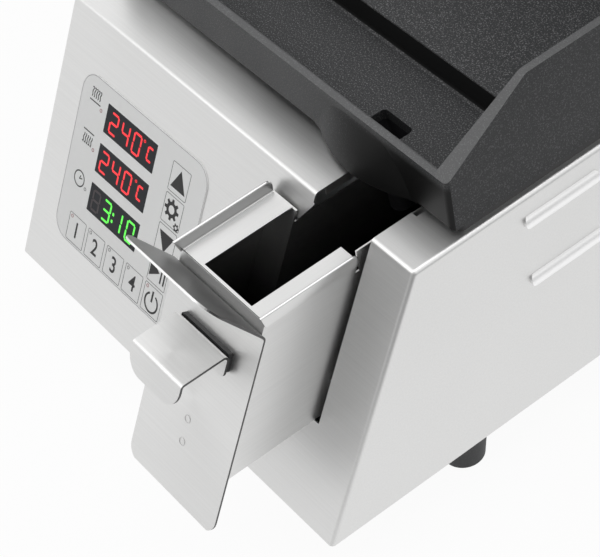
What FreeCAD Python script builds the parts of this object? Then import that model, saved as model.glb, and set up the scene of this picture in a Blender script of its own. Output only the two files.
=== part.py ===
"""Contact grill for a counter: a sloping steel housing with a keypad and a grease drawer, a cast
lower plate with a front gutter and drain, and a sprung lid whose ribbed upper plate tilts on two pivots.

The pieces are drawn in the housing's frame: X across the width with 0 in the middle, Y from the foot
of the sloping panel to the back, Z up from the housing's lower edge. Each piece is then moved so that
the origin lies under the middle of the whole object, on the surface it stands on.
"""
import FreeCAD, Part
import math
import os
from FreeCAD import Placement, Rotation, Vector

# Housing, in millimetres.
WIDTH = 310.0
HEIGHT = 154.0
DEPTH = 438.0
SLOPE = 27.2
SHEET = 1.2
BEND = 2.6
FLANGE = 14.0
TOP_LEDGE = 17.0
BASE_START = 27.0
BASE_SHEET = 1.0
COVER_INSET = 2.0
COVER_CORNER = 4.0

# Cut-out for the grease drawer, across the panel (X) and up its slope (P).
CUT_RIGHT = 121.2
CUT_LEFT = 63.0
CUT_BOTTOM = 58.0
CUT_TONGUE_DROP = 19.65
CUT_STEP = 76.0
CUT_STEP_DROP = 6.15
NOTCH_GAP = 2.2
NOTCH_LIP = 5.0
NOTCH_LIP_START = 6.0
NOTCH_LIP_THICK = 1.0

# Louvres in the sides.
LOUVRE_LENGTH = 51.0
LOUVRE_HEIGHT = 8.6
LOUVRE_RISE = 2.6
LOUVRE_FIRST = 149.0
LOUVRE_PITCH = 66.0
LOUVRE_COLUMNS = 3
LOUVRE_ROWS = (94.5, 137.5)

# Cooling slots.
BASE_SLOTS = 7
BASE_SLOT_FIRST = 160.0
BASE_SLOT_PITCH = 16.0
BASE_SLOT_WIDTH = 5.0
BASE_SLOT_X = 70.0
BASE_SLOT_LENGTH = 50.0
REAR_SLOTS = 6
REAR_SLOT_X = -70.0
REAR_SLOT_LENGTH = 80.0
REAR_SLOT_FIRST = 60.0
REAR_SLOT_PITCH = 10.0
REAR_SLOT_WIDTH = 4.0
TOWER_SLOTS = 8
TOWER_SLOT_PITCH = 24.0
TOWER_SLOT_LENGTH = 12.0
TOWER_SLOT_RISE = 20.0

# Feet.
FOOT_HEIGHT = 28.0
FOOT_TOP_R = 15.5
FOOT_TIP_R = 12.3
FOOT_INSET = 19.4
FOOT_FRONT = 104.8
FOOT_BACK_INSET = 40.0

# Keypad, up the slope (P) and across (X).
PAD_LEFT = -130.0
PAD_RIGHT = -5.6
PAD_BOTTOM = 30.5
PAD_TOP = 140.0
PAD_CORNER = 13.0
PAD_FILM = 0.5
WINDOW_LEFT = -103.3
WINDOW_WIDTH = 50.0
WINDOW_HEIGHT = 18.6
WINDOW_TOP = 130.0
WINDOW_PITCH = 26.0
WINDOW_COUNT = 3
BOARD_GAP = 13.0
BOARD_THICK = 1.6
BOARD_MARGIN = 8.0
BOARD_HOLE_INSET = 5.0
POST_R = 3.0
POST_PIN_R = 1.5
RELAY_WIDTH = 22.0
RELAY_LENGTH = 28.0
RELAY_DEPTH = 16.0
RELAY_PITCH = 34.0
RELAY_INSET = 18.0
RELAY_RISE = 12.0
TERMINAL_X = 70.0
TERMINAL_BACK = 70.0
TERMINAL_LENGTH = 50.0
TERMINAL_DEPTH = 22.0
TERMINAL_HEIGHT = 20.0
TERMINAL_COUNT = 5
TERMINAL_PITCH = 8.5
SHIELD_WALL_GAP = 6.0
SHIELD_WALL_SHEET = 1.0
SHIELD_WALL_FOOT = 12.0
SHIELD_WALL_END = 12.0
CUTOUT_X = -60.0
CUTOUT_Z = 100.0
CUTOUT_R = 9.0
CUTOUT_LENGTH = 14.0
CUTOUT_FLANGE = 28.0

# Lower grill plate.
PLATE_INSET = 4.3
PLATE_SETBACK = 29.05
PLATE_GAP = 4.0
GASKET_INSET = 0.6
GASKET_WIDTH = 4.8
RIM_RISE = 37.5
RIM_WIDTH = 5.4
GUTTER_RISE = 18.0
GUTTER_LENGTH = 59.8
COOK_RISE = 35.0
BACK_GAP = 6.0
WALL_RISE = 75.0
WALL_THICK = 4.6
WALL_DRAFT = 9.2
RAMP_LENGTH = 55.3
SLAB = 8.0
PLATE_CORNER = 3.5
GUTTER_CORNER = 8.0
DRAIN_X = 79.5
DRAIN_INSET = 17.8
DRAIN_WIDTH = 24.0
DRAIN_DEPTH = 15.4
SPOUT_DROP = 38.0
SPOUT_BORE = 5.0
SPOUT_WALL = 1.6
BULGE_HALF = 38.0
BULGE_OUT = 10.0
BULGE_MIDDLE_RISE = 12.0
BULGE_TOP_DROP = 4.0
SKIRT = 7.0
SIDE_SKIRT = 9.0
BOSS_R = 7.0
SCREW_REACH = 13.0

# Grease drawer.
DRAWER_OUT = 62.8
DRAWER_SHEET = 1.2
FRONT_BOTTOM = 27.5
FRONT_DROP = 20.85
FRONT_SIDE = 2.0
FRONT_CORNER = 9.0
SHIELD_LENGTH = 50.0
SHIELD_LEAN = 33.0
SHIELD_CORNER = 14.0
SHIELD_BEND = 3.0
BOX_SHEET = 1.0
BOX_LEFT = 45.0
BOX_RIGHT = 117.6
BOX_NARROW = 65.0
BOX_BOTTOM = 52.2
BOX_BACK = 190.0
BOX_BACK_DROP = 42.0
BOX_LOW_DROP = 19.5
BOX_HIGH_DROP = 5.8
BOX_SLOPE = 40.0
LEDGE_DROP = 13.0
LEDGE_LEFT = 18.0
LEDGE_RIGHT = 13.6
LEDGE_FRONT = 4.6
LIP_HEIGHT = 8.5
HEM_DROP = 10.5
RIM_SETBACK = 8.55
DRAWER_CLEARANCE = 0.3
GUIDE_SHEET = 1.0
GUIDE_GAP = 0.7
GUIDE_LEAD = 14.0
GUIDE_OVER = 16.0
GUIDE_RIM = 22.0
GUIDE_BACK_RIM = 30.0
GUIDE_LEG_INSET = 6.0
GUIDE_LEG_WIDTH = 22.0
GUIDE_LEG_START = 18.0
GUIDE_LEG_END = 30.0

# Drawer handle.
HANDLE_WIDTH = 44.0
HANDLE_SHEET = 1.5
HANDLE_DROP = 34.5
HANDLE_REACH = 30.0
HANDLE_LIP = 30.0
HANDLE_FOOT = 15.5
HANDLE_CORNER = 12.0
HANDLE_SPACER = 3.0

# Hinge and lid, drawn closed.
HINGE_RISE = 96.0
HINGE_INSET = 21.0
SHAFT_R = 7.0
SHAFT_CLEARANCE = 0.05
BUSH_WALL = 3.0
TOWER_HALF = 126.0
TOWER_DEPTH = 40.0
TOWER_OVER = 18.0
TOWER_FRONT_R = 12.0
TOWER_BACK_R = 8.0
BRACKET_THICK = 4.0
BRACKET_GAP = 1.0
BRACKET_INSET = 5.0
BRACKET_OVER = 14.0
BRACKET_CROWN = 18.0
BRACKET_TOE = 22.0
BRACKET_SCREW_INSET = 7.0
ARM_INNER = 131.0
ARM_THICK = 6.0
ARM_HALF = 12.0
HUB_R = 16.0
STOP_R = 5.0
LID_GAP = 10.0
LID_OPEN = 65.0
PIVOT_RISE = 89.0
PIVOT_R = 5.0
PIVOT_CLEARANCE = 0.05
UPPER_HALF = 125.0
UPPER_DEPTH = 210.0
UPPER_BACK_GAP = 10.0
UPPER_SLAB = 14.5
UPPER_CORNER = 7.0
RIB_PITCH = 11.0
RIB_HEIGHT = 3.5
HOOD_INSET = 2.0
HOOD_HEIGHT = 45.0
HOOD_CORNER = 7.5
HANDLE_BAR_LEAD = 32.0
HANDLE_BAR_RISE = 110.0
HANDLE_BAR_R = 7.0
BAR_SHOULDER = 2.0
GRIP_R = 14.0
GRIP_END_GAP = 5.0
GRIP_ROUND = 4.0
GRIP_BELL = 24.0
GRIP_TAPER = 36.0
GRIP_WAIST = 1.6

# Springs, frame and cable entries.
SPRING_WIRE = 3.0
SPRING_R = 12.5
SPRING_TURNS = 8
SPRING_START = 60.0
COLLAR_WIDTH = 9.0
HUB_HOLE_R = 11.0
NUT_R = 12.5
NUT_THICK = 7.0
CAP_R = 9.0
CAP_RISE = 7.6
FRAME_HALF = 119.0
FRAME_SHEET = 3.0
GLAND_X = 95.0
GLAND_Z = 45.0
GLAND_R = 8.0
GLAND_BORE = 3.6
GLAND_FLANGE_R = 12.5
GLAND_CAP_R = 11.0
GLAND_IN = 12.0
GLAND_OUT = 22.0
SOCKET_BORE = 3.5
SOCKET_NECK_R = 6.4
SOCKET_COLLAR_R = 9.0
SOCKET_RISE = 4.0
SEAT_GAP = 0.3
SCREW_R = 2.4
SCREW_FIT = 0.1
SCREW_HEAD = 3.2
SCREW_HEAD_R = 4.2
BOLT_HEAD = 5.5
BOLT_HEAD_R = 9.0
RIVET_R = 1.6

# Heating.
ELEMENT_R = 4.0
ELEMENT_RUNS = 6
ELEMENT_CLEARANCE = 0.2
LOWER_HEAT_INSET = 42.7
LOWER_HEAT_MARGIN = 16.0
LOWER_POST_SPREAD = 40.0
UPPER_HEAT_INSET = 25.0
UPPER_HEAT_MARGIN = 14.0
UPPER_POST_SPREAD = 15.0
CLAMP_OVER_SIDE = 10.0
CLAMP_OVER_END = 4.0
CLAMP_THICK = 1.5
CLAMP_POST_R = 3.0
PAD_STEP = 2.0
PAD_THICK = 9.0
PAN_OVER = 16.0
PAN_MARGIN = 9.0
PAN_SHEET = 1.0
PAN_RIM = 6.0
WING_INSET = 50.0
WING_WIDTH = 32.0
WING_TOE = 2.2
BRIDGE_HALF = 22.0
PROBE_R = 3.0
PROBE_HEAD_R = 6.0
PROBE_HEAD = 1.6
PROBE_LENGTH = 8.0

TAN = math.tan(math.radians(SLOPE))
SIN = math.sin(math.radians(SLOPE))
COS = math.cos(math.radians(SLOPE))
HALF = WIDTH / 2
PLATE_HALF = HALF - PLATE_INSET
SLOPE_TOP = HEIGHT / COS
PLATE_FRONT = HEIGHT * TAN + PLATE_SETBACK
PLATE_BOTTOM = HEIGHT + PLATE_GAP
RIM_TOP = HEIGHT + RIM_RISE
GUTTER_FLOOR = HEIGHT + GUTTER_RISE
COOK_LEVEL = HEIGHT + COOK_RISE
WALL_TOP = HEIGHT + WALL_RISE
GUTTER_BACK = PLATE_FRONT + GUTTER_LENGTH
RAMP_END = PLATE_FRONT + RAMP_LENGTH
DRAIN_Y = PLATE_FRONT + DRAIN_INSET
SPOUT_TIP = HEIGHT - SPOUT_DROP
FRONT_TOP = SLOPE_TOP - FRONT_DROP
BOX_BACK_TOP = HEIGHT - BOX_BACK_DROP
BOX_LOW_TOP = HEIGHT - BOX_LOW_DROP
BOX_HIGH_TOP = HEIGHT - BOX_HIGH_DROP
LEDGE_LEVEL = HEIGHT - LEDGE_DROP
RIM_BACK = HEIGHT * TAN - RIM_SETBACK
HANDLE_LEVEL = HEIGHT - HANDLE_DROP
PLATE_BACK = DEPTH - TOWER_DEPTH - BACK_GAP
DRAFT = math.tan(math.radians(WALL_DRAFT))
HINGE_Y = DEPTH - HINGE_INSET
HINGE_LEVEL = HEIGHT + HINGE_RISE
UPPER_FRONT = PLATE_BACK - UPPER_BACK_GAP - UPPER_DEPTH
PIVOT_Y = UPPER_FRONT + UPPER_DEPTH / 2
PIVOT_LEVEL = HEIGHT + PIVOT_RISE
HANDLE_BAR_Y = UPPER_FRONT - HANDLE_BAR_LEAD
HANDLE_BAR_Z = HEIGHT + HANDLE_BAR_RISE
UPPER_BOTTOM = COOK_LEVEL + LID_GAP
UPPER_TOP = UPPER_BOTTOM + RIB_HEIGHT + UPPER_SLAB
UPPER_BACK = UPPER_FRONT + UPPER_DEPTH
LOWER_HEAT_HALF = PLATE_HALF - LOWER_HEAT_INSET
UPPER_HEAT_HALF = UPPER_HALF - UPPER_HEAT_INSET
HEATER_ROOM = 2 * (ELEMENT_R + ELEMENT_CLEARANCE)
CLAMP_TOP = COOK_LEVEL - SLAB - HEATER_ROOM
FRONT_LEFT = BOX_LEFT - FRONT_SIDE
FRONT_RIGHT = BOX_RIGHT + FRONT_SIDE + 1.7
DRAWER_MIDDLE = (FRONT_LEFT + FRONT_RIGHT) / 2


def box(x0, x1, y0, y1, z0, z1):
    """Block between two corners."""
    return Part.makeBox(x1 - x0, y1 - y0, z1 - z0, Vector(x0, y0, z0))


def rod(radius, start, end):
    """Round bar from one point to another."""
    start, end = Vector(*start), Vector(*end)
    return Part.makeCylinder(radius, (end - start).Length, start, end - start)


def turned(points, axis_point, axis):
    """Solid of revolution of (radius, height) points about an axis."""
    wire = Part.makePolygon([Vector(r, 0, h) for r, h in points + points[:1]])
    solid = Part.Face(wire).revolve(Vector(0, 0, 0), Vector(0, 0, 1), 360)
    solid.Placement = Placement(Vector(*axis_point), Rotation(Vector(0, 0, 1), Vector(*axis)))
    return solid


def rounded_wire(points, radii):
    """Closed wire through 3-D corner points in one plane, with an arc of its radius at each corner."""
    if not isinstance(radii, (list, tuple)):
        radii = [radii] * len(points)
    corners = [Vector(*p) for p in points]
    starts, ends, mids = [], [], []
    for i, corner in enumerate(corners):
        to_last = (corners[i - 1] - corner).normalize()
        to_next = (corners[(i + 1) % len(corners)] - corner).normalize()
        half = to_last.getAngle(to_next) / 2
        cut = radii[i] / math.tan(half) if radii[i] else 0.0
        starts.append(corner + to_last * cut)
        ends.append(corner + to_next * cut)
        middle = (to_last + to_next).normalize()
        mids.append(corner + middle * (radii[i] / math.sin(half) - radii[i]))
    edges = []
    for i, corner in enumerate(corners):
        if radii[i]:
            edges.append(Part.Arc(starts[i], mids[i], ends[i]).toShape())
        following = starts[(i + 1) % len(corners)]
        if (following - ends[i]).Length > 1e-6:
            edges.append(Part.makeLine(ends[i], following))
    return Part.Wire(edges)


def slab(points, radii, along):
    """Flat rounded outline given thickness along a vector."""
    return Part.Face(rounded_wire(points, radii)).extrude(Vector(*along))


def bar_x(points_yz, x0, x1, radii=0.0):
    """Profile in the YZ plane drawn out along X."""
    return slab([(x0, y, z) for y, z in points_yz], radii, (x1 - x0, 0, 0))


def bent_sheet(points_yz, thick, bend, x0, x1):
    """Sheet of one thickness folded along a line in the YZ plane, with round bends."""
    path = [Vector(0, y, z) for y, z in points_yz]
    runs = [(b - a).normalize() for a, b in zip(path, path[1:])]

    def side(offset):
        normals = [Vector(0, -r.z, r.y) for r in runs]
        chain = [path[0] + normals[0] * offset]
        edges = []
        for i in range(1, len(path) - 1):
            turn = runs[i - 1].cross(runs[i]).x
            half = runs[i - 1].getAngle(runs[i]) / 2
            cut = bend * math.tan(half)
            first = path[i] - runs[i - 1] * cut + normals[i - 1] * offset
            last = path[i] + runs[i] * cut + normals[i] * offset
            inward = (runs[i] - runs[i - 1]).normalize()
            centre = path[i] + inward * (bend / math.cos(half))
            radius = bend - offset * (1 if turn > 0 else -1)
            edges.append(Part.makeLine(chain[-1], first))
            edges.append(Part.Arc(first, centre - inward * radius, last).toShape())
            chain.append(last)
        edges.append(Part.makeLine(chain[-1], path[-1] + normals[-1] * offset))
        return edges

    left, right = side(thick / 2), side(-thick / 2)
    ends = [
        Part.makeLine(left[0].Vertexes[0].Point, right[0].Vertexes[0].Point),
        Part.makeLine(left[-1].Vertexes[-1].Point, right[-1].Vertexes[-1].Point),
    ]
    wire = Part.Wire(Part.__sortEdges__(left + right + ends))
    sheet = Part.Face(wire).extrude(Vector(x1 - x0, 0, 0))
    sheet.translate(Vector(x0, 0, 0))
    return sheet


def on_panel(shape, out=0.0, forward=0.0):
    """Moves a shape drawn flat (X across, Y up the slope, Z outwards) onto the panel's plane."""
    turn = Rotation(Vector(1, 0, 0), 90 - SLOPE)
    start = Vector(0, -out * COS - forward, out * SIN)
    moved = shape.copy()
    moved.Placement = Placement(start, turn).multiply(moved.Placement)
    return moved


def flat(points, radii, low, high):
    """Plate in the panel's flat drawing plane, from one height to another."""
    return slab([(x, p, low) for x, p in points], radii, (0, 0, high - low))


def corners(x0, x1, y0, y1):
    """The four corners of a rectangle, anticlockwise."""
    return [(x0, y0), (x1, y0), (x1, y1), (x0, y1)]


def screw_hole(x, y, z):
    """Upright clearance hole for a screw, through sheet or casting near a height."""
    return rod(SCREW_R + SCREW_FIT, (x, y, z - 6), (x, y, z + 6))


def edges_where(shape, test):
    """Edges of a shape that pass a test on their end points."""
    return [e for e in shape.Edges if test(*[v.Point for v in e.Vertexes[:2]])]


def mirrored(shape):
    """The same shape on the other side of the middle plane."""
    return shape.mirror(Vector(0, 0, 0), Vector(1, 0, 0))


def fused(shapes):
    """One clean solid from touching solids."""
    first, *rest = shapes
    whole = first.fuse(rest) if rest else first
    return whole.removeSplitter()


def opened(shape):
    """A lid piece drawn closed, turned up to where it rests."""
    turned_up = shape.copy()
    turned_up.rotate(Vector(0, HINGE_Y, HINGE_LEVEL), Vector(1, 0, 0), -LID_OPEN)
    return turned_up


def housing_block(inset, bend):
    """The housing's outer form moved in by a wall, with its folded edges rounded."""
    low, high = inset, HEIGHT - inset
    front = inset / COS
    half = HALF - inset
    back = DEPTH - inset
    outline = [(low * TAN + front, low), (high * TAN + front, high), (back, high), (back, low)]
    block = bar_x(outline, -half, half)
    front_top = high * TAN + front

    def folded(a, b):
        across = abs(a.y - front_top) < 0.01 and abs(b.y - front_top) < 0.01 and abs(a.z - b.z) < 0.01
        side = abs(abs(a.x) - half) < 0.01 and abs(a.x - b.x) < 0.01
        top = side and abs(a.z - high) < 0.01 and abs(b.z - high) < 0.01
        slope = side and abs(a.z - b.z) > 1 and a.y < DEPTH / 2 and b.y < DEPTH / 2
        return across or top or slope

    return block.makeFillet(bend, edges_where(block, folded))


def louvre_outline(y0, z, height, x0, x1):
    """Stadium on a side wall, drawn out across it."""
    r = height / 2
    y1 = y0 + LOUVRE_LENGTH
    points = [(x0, y0, z - r), (x0, y1, z - r), (x0, y1, z + r), (x0, y0, z + r)]
    return slab(points, r * 0.98, (x1 - x0, 0, 0))


def louvre_hood(y0, z):
    """Pressed hood, closed above and at its ends and open below."""
    r = LOUVRE_HEIGHT / 2
    back = HALF - SHEET

    def arch(lift, low, grow):
        foot, head = Vector(back, 0, z - low), Vector(back, 0, z + r - grow)
        crown = Vector(HALF + lift, 0, z - r * 0.35)
        lip = Vector(HALF + lift * 0.72, 0, z - low)
        edges = [Part.makeLine(head, foot), Part.makeLine(foot, lip), Part.Arc(lip, crown, head).toShape()]
        return Part.Face(Part.Wire(edges))

    whole = arch(LOUVRE_RISE, r, 0.0).extrude(Vector(0, LOUVRE_LENGTH, 0))
    whole.translate(Vector(0, y0, 0))
    hollow = arch(LOUVRE_RISE - SHEET * 0.8, r + 1, SHEET).extrude(Vector(0, LOUVRE_LENGTH - 2 * r, 0))
    hollow.translate(Vector(0, y0 + r, 0))
    rounded = louvre_outline(y0, z, LOUVRE_HEIGHT, back - 1, HALF + LOUVRE_RISE + 1)
    return whole.common(rounded), hollow


def housing_shell():
    """Folded housing: panel, top strip, both sides and the flanges that carry plate, base and back."""
    shell = housing_block(0.0, BEND).cut(housing_block(SHEET, BEND - SHEET))
    strip = PLATE_FRONT + FLANGE
    ledge = HALF - TOP_LEDGE
    notch_back = PLATE_FRONT - NOTCH_GAP
    openings = [
        box(-ledge, ledge, strip, PLATE_BACK - FLANGE, HEIGHT - 2 * SHEET, HEIGHT + 1),
        box(-HALF + FLANGE, HALF - FLANGE, FLANGE, DEPTH - FLANGE, -1, 2 * SHEET),
        box(-HALF + FLANGE, HALF - FLANGE, DEPTH - 2 * SHEET, DEPTH + 1, FLANGE, HEIGHT - FLANGE),
        box(CUT_STEP - SHEET, CUT_RIGHT, HEIGHT * TAN - BEND, notch_back, HEIGHT - 9, HEIGHT + 1),
        box(CUT_LEFT - 3, CUT_RIGHT + 4, notch_back - 1, strip + 1, HEIGHT - 2 * SHEET, HEIGHT + 1),
    ]
    above = SLOPE_TOP + 12
    tongue = SLOPE_TOP - CUT_TONGUE_DROP
    cut = [
        (CUT_LEFT, CUT_BOTTOM), (CUT_RIGHT, CUT_BOTTOM), (CUT_RIGHT, above), (CUT_STEP, above),
        (CUT_STEP, SLOPE_TOP - CUT_STEP_DROP), (CUT_LEFT + 4.5, tongue), (CUT_LEFT, tongue),
    ]
    openings.append(on_panel(flat(cut, [1, 1, 0, 0, 5, 2.5, 0.8], -9 * SHEET, SHEET)))
    for points in window_corners():
        openings.append(on_panel(flat(points, 0.4, -2 * SHEET, SHEET)))
    for x, y in plate_screw_places() + bracket_screw_places(-1) + bracket_screw_places(1):
        openings.append(screw_hole(x, y, HEIGHT))
    shell = shell.cut(openings)
    lip_top = HEIGHT - SHEET / 2
    lip_right = CUT_STEP - SHEET
    lip = box(lip_right - NOTCH_LIP_THICK, lip_right, HEIGHT * TAN + NOTCH_LIP_START, notch_back - 1,
              lip_top - NOTCH_LIP, lip_top)
    hoods, hollows = [lip], []
    for column in range(LOUVRE_COLUMNS):
        for row in LOUVRE_ROWS:
            hood, hollow = louvre_hood(LOUVRE_FIRST + column * LOUVRE_PITCH, row)
            hoods += [hood, mirrored(hood)]
            hollows += [hollow, mirrored(hollow)]
    return fused([shell] + hoods).cut(hollows)


def base_plate():
    """Pressed bottom tray with cooling slots."""
    edge = HALF - 1.0
    tray = box(-edge, edge, BASE_START, DEPTH - 1, -BASE_SHEET, 0)
    slots = []
    for i in range(BASE_SLOTS):
        y = BASE_SLOT_FIRST + i * BASE_SLOT_PITCH
        for middle in (-BASE_SLOT_X, BASE_SLOT_X):
            x0, x1 = middle - BASE_SLOT_LENGTH / 2, middle + BASE_SLOT_LENGTH / 2
            slots.append(box(x0, x1, y, y + BASE_SLOT_WIDTH, -BASE_SHEET - 1, 1))
    return tray.cut(slots)


def rear_cover():
    """Back panel with cooling slots and the hole for the cable gland."""
    half, inset = HALF - COVER_INSET, COVER_INSET
    outline = [(x, DEPTH, z) for x, z in corners(-half, half, inset, HEIGHT - inset)]
    cover = slab(outline, COVER_CORNER, (0, BASE_SHEET, 0))
    x0, x1 = REAR_SLOT_X - REAR_SLOT_LENGTH / 2, REAR_SLOT_X + REAR_SLOT_LENGTH / 2
    slots = []
    for i in range(REAR_SLOTS):
        z = REAR_SLOT_FIRST + i * REAR_SLOT_PITCH
        slots.append(box(x0, x1, DEPTH - 1, DEPTH + 2, z, z + REAR_SLOT_WIDTH))
    slots.append(rod(GLAND_R, (GLAND_X, DEPTH - 1, GLAND_Z), (GLAND_X, DEPTH + 3, GLAND_Z)))
    return cover.cut(slots)


def cable_gland():
    """Gland in the back panel with its lock nut inside; the supply cord itself is left out."""
    r = GLAND_R - 0.1
    seat, cap = GLAND_FLANGE_R, GLAND_CAP_R
    body = turned(
        [(GLAND_BORE, -GLAND_IN), (r, -GLAND_IN), (r, BASE_SHEET + 0.2), (seat, BASE_SHEET + 0.2), (seat, 8),
         (cap, 9), (cap, GLAND_OUT - 5), (cap - 2.8, GLAND_OUT), (GLAND_BORE, GLAND_OUT)],
        (GLAND_X, DEPTH, GLAND_Z), (0, 1, 0))
    nut_r = GLAND_FLANGE_R + 0.5
    nut = turned([(r, -6), (nut_r, -6), (nut_r, -1.4), (r, -1.4)], (GLAND_X, DEPTH, GLAND_Z), (0, 1, 0))
    return fused([body, nut])


def socket_profile(collar, length):
    """Half outline of a lead socket: a neck through the sheet and a collar outside it."""
    return [(SOCKET_BORE, -6), (SOCKET_NECK_R, -6), (SOCKET_NECK_R, 0), (collar, 0), (collar, length * 2 / 3),
            (collar - 2, length), (SOCKET_BORE, length)]


def conduit_socket():
    """Socket in the top of the hinge tower for the lead to the lid; the lead itself is left out."""
    top = HINGE_LEVEL + TOWER_OVER
    return turned(socket_profile(SOCKET_COLLAR_R, 9.0), (0, HINGE_Y, top), (0, 0, 1))


def foot(x, y):
    """Tapered rubber foot with a recess for its screw."""
    top = -BASE_SHEET
    tip = -FOOT_HEIGHT
    profile = [(0, tip + 6), (4.5, tip + 6), (4.5, tip), (FOOT_TIP_R - 1.2, tip), (FOOT_TIP_R, tip + 1.2),
               (FOOT_TOP_R, top - 2), (FOOT_TOP_R - 0.6, top), (0, top)]
    return turned(profile, (x, y, 0), (0, 0, 1))


def foot_places():
    """Name and place of each foot."""
    x, back = HALF - FOOT_INSET, DEPTH - FOOT_BACK_INSET
    return {"foot_front_left": (-x, FOOT_FRONT), "foot_front_right": (x, FOOT_FRONT),
            "foot_back_left": (-x, back), "foot_back_right": (x, back)}


def foot_screws():
    """The four screws that clamp the feet to the base plate."""
    screws = []
    for x, y in foot_places().values():
        angles = [math.radians(60 * k) for k in range(6)]
        nut = slab([(x + 4.6 * math.cos(a), y + 4.6 * math.sin(a), 0) for a in angles], 0, (0, 0, 3.5))
        screws.append(fused([nut, rod(SCREW_R, (x, y, 0), (x, y, 6))]))
    return Part.makeCompound(screws)


def window_corners():
    """Outlines of the display windows in the panel's flat drawing plane."""
    tops = [WINDOW_TOP - i * WINDOW_PITCH for i in range(WINDOW_COUNT)]
    return [corners(WINDOW_LEFT, WINDOW_LEFT + WINDOW_WIDTH, top - WINDOW_HEIGHT, top) for top in tops]


def keypad_film():
    """Membrane with its key fields, stuck on the panel, with an opening for each display."""
    film = flat(corners(PAD_LEFT, PAD_RIGHT, PAD_BOTTOM, PAD_TOP), PAD_CORNER, 0, PAD_FILM)
    film = film.cut([flat(points, 0.4, -1, 2) for points in window_corners()])
    return on_panel(film)


def display_window(points):
    """Dark lens that fills one opening of the membrane and of the panel."""
    x0, p0, x1, p1 = points[0][0], points[0][1], points[2][0], points[2][1]
    gap = 0.05
    lens = flat(corners(x0 + gap, x1 - gap, p0 + gap, p1 - gap), 0.4, -SHEET, PAD_FILM)
    return on_panel(lens)


def display_module(points):
    """Three-digit display block that stands on the control board behind its lens."""
    x0, p0, x1, p1 = points[0][0], points[0][1], points[2][0], points[2][1]
    block = flat(corners(x0 + 0.5, x1 - 0.5, p0 + 0.4, p1 - 0.4), 0, -BOARD_GAP, -SHEET - 0.3)
    return on_panel(block)


def board_corners():
    """Outline of the control board behind the keypad."""
    return corners(PAD_LEFT + BOARD_MARGIN, PAD_RIGHT - BOARD_MARGIN, PAD_BOTTOM + BOARD_MARGIN, PAD_TOP - 4)


def control_board():
    """Circuit board with its fixing holes."""
    points = board_corners()
    board = flat(points, 2, -BOARD_GAP - BOARD_THICK, -BOARD_GAP)
    (x0, p0), _, (x1, p1), _ = points
    inset = BOARD_HOLE_INSET
    holes = [rod(POST_PIN_R + 0.2, (x, p, -BOARD_GAP - 3), (x, p, 0))
             for x in (x0 + inset, x1 - inset) for p in (p0 + inset, p1 - inset)]
    return on_panel(board.cut(holes))


def board_posts():
    """Four threaded posts welded inside the panel; the board sits on their shoulders."""
    (x0, p0), _, (x1, p1), _ = board_corners()
    inset = BOARD_HOLE_INSET
    posts = []
    for x in (x0 + inset, x1 - inset):
        for p in (p0 + inset, p1 - inset):
            post = rod(POST_R, (x, p, -BOARD_GAP), (x, p, -SHEET))
            pin = rod(POST_PIN_R, (x, p, -BOARD_GAP - 5), (x, p, -BOARD_GAP + 1))
            posts.append(on_panel(fused([post, pin])))
    return Part.makeCompound(posts)


def power_relay(index):
    """Relay that switches one heater, on the back of the control board."""
    (x0, p0), _, _, _ = board_corners()
    left, low = x0 + RELAY_INSET + index * RELAY_PITCH, p0 + RELAY_RISE
    back = -BOARD_GAP - BOARD_THICK
    outline = corners(left, left + RELAY_WIDTH, low, low + RELAY_LENGTH)
    return on_panel(flat(outline, 1, back - RELAY_DEPTH, back))


def terminal_block():
    """Supply terminals on the base plate, in front of the gland."""
    y = DEPTH - TERMINAL_BACK
    body = box(TERMINAL_X, TERMINAL_X + TERMINAL_LENGTH, y, y + TERMINAL_DEPTH, 0, TERMINAL_HEIGHT)
    first = TERMINAL_X + (TERMINAL_LENGTH - (TERMINAL_COUNT - 1) * TERMINAL_PITCH) / 2
    wells = []
    for i in range(TERMINAL_COUNT):
        x, middle = first + i * TERMINAL_PITCH, y + TERMINAL_DEPTH / 2
        well_r, well_foot = TERMINAL_PITCH * 0.35, TERMINAL_HEIGHT - 6
        wells.append(rod(well_r, (x, middle, well_foot), (x, middle, TERMINAL_HEIGHT + 1)))
    return body.cut(wells)


def heat_shield():
    """Folded wall between the hot plate and the electronics."""
    y = PLATE_FRONT + FLANGE + SHIELD_WALL_GAP
    left, right = -HALF + SHIELD_WALL_GAP, CUT_LEFT - SHIELD_WALL_END
    t = SHIELD_WALL_SHEET
    wall = box(left, right, y, y + t, SHEET, HEIGHT - SHIELD_WALL_GAP)
    return fused([wall, box(left, right, y, y + SHIELD_WALL_FOOT, SHEET, SHEET + t)])


def drawer_guide():
    """Channel on two legs that carries the drawer behind the panel."""
    t = GUIDE_SHEET
    top = BOX_BOTTOM - DRAWER_CLEARANCE
    left, right = BOX_NARROW - GUIDE_GAP - t, BOX_RIGHT + GUIDE_GAP + t
    start, end = CUT_BOTTOM * SIN + GUIDE_LEAD, BOX_BACK + GUIDE_OVER
    floor = box(left, right, start, end, top - t, top)
    sides = [box(left, left + t, start, end, top, top + GUIDE_RIM),
             box(right - t, right, start, end, top, top + GUIDE_RIM)]
    back = box(left, right, end - t, end, top, top + GUIDE_BACK_RIM)
    legs = []
    inner_left, inner_right = left + GUIDE_LEG_INSET, right - GUIDE_LEG_INSET
    for y in (start + GUIDE_LEG_START, end - GUIDE_LEG_END):
        ahead = y + GUIDE_LEG_WIDTH
        legs += [box(inner_left, inner_left + t, y, ahead, 0, top - t),
                 box(inner_right - t, inner_right, y, ahead, 0, top - t),
                 box(left - GUIDE_LEG_INSET, inner_left + t, y, ahead, 0, t),
                 box(inner_right - t, right + GUIDE_LEG_INSET, y, ahead, 0, t)]
    return fused([floor, back] + sides + legs)


def wall_inner(z):
    """Half width between the plate's side walls at a height."""
    return PLATE_HALF - WALL_THICK - (WALL_TOP - z) * DRAFT


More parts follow.
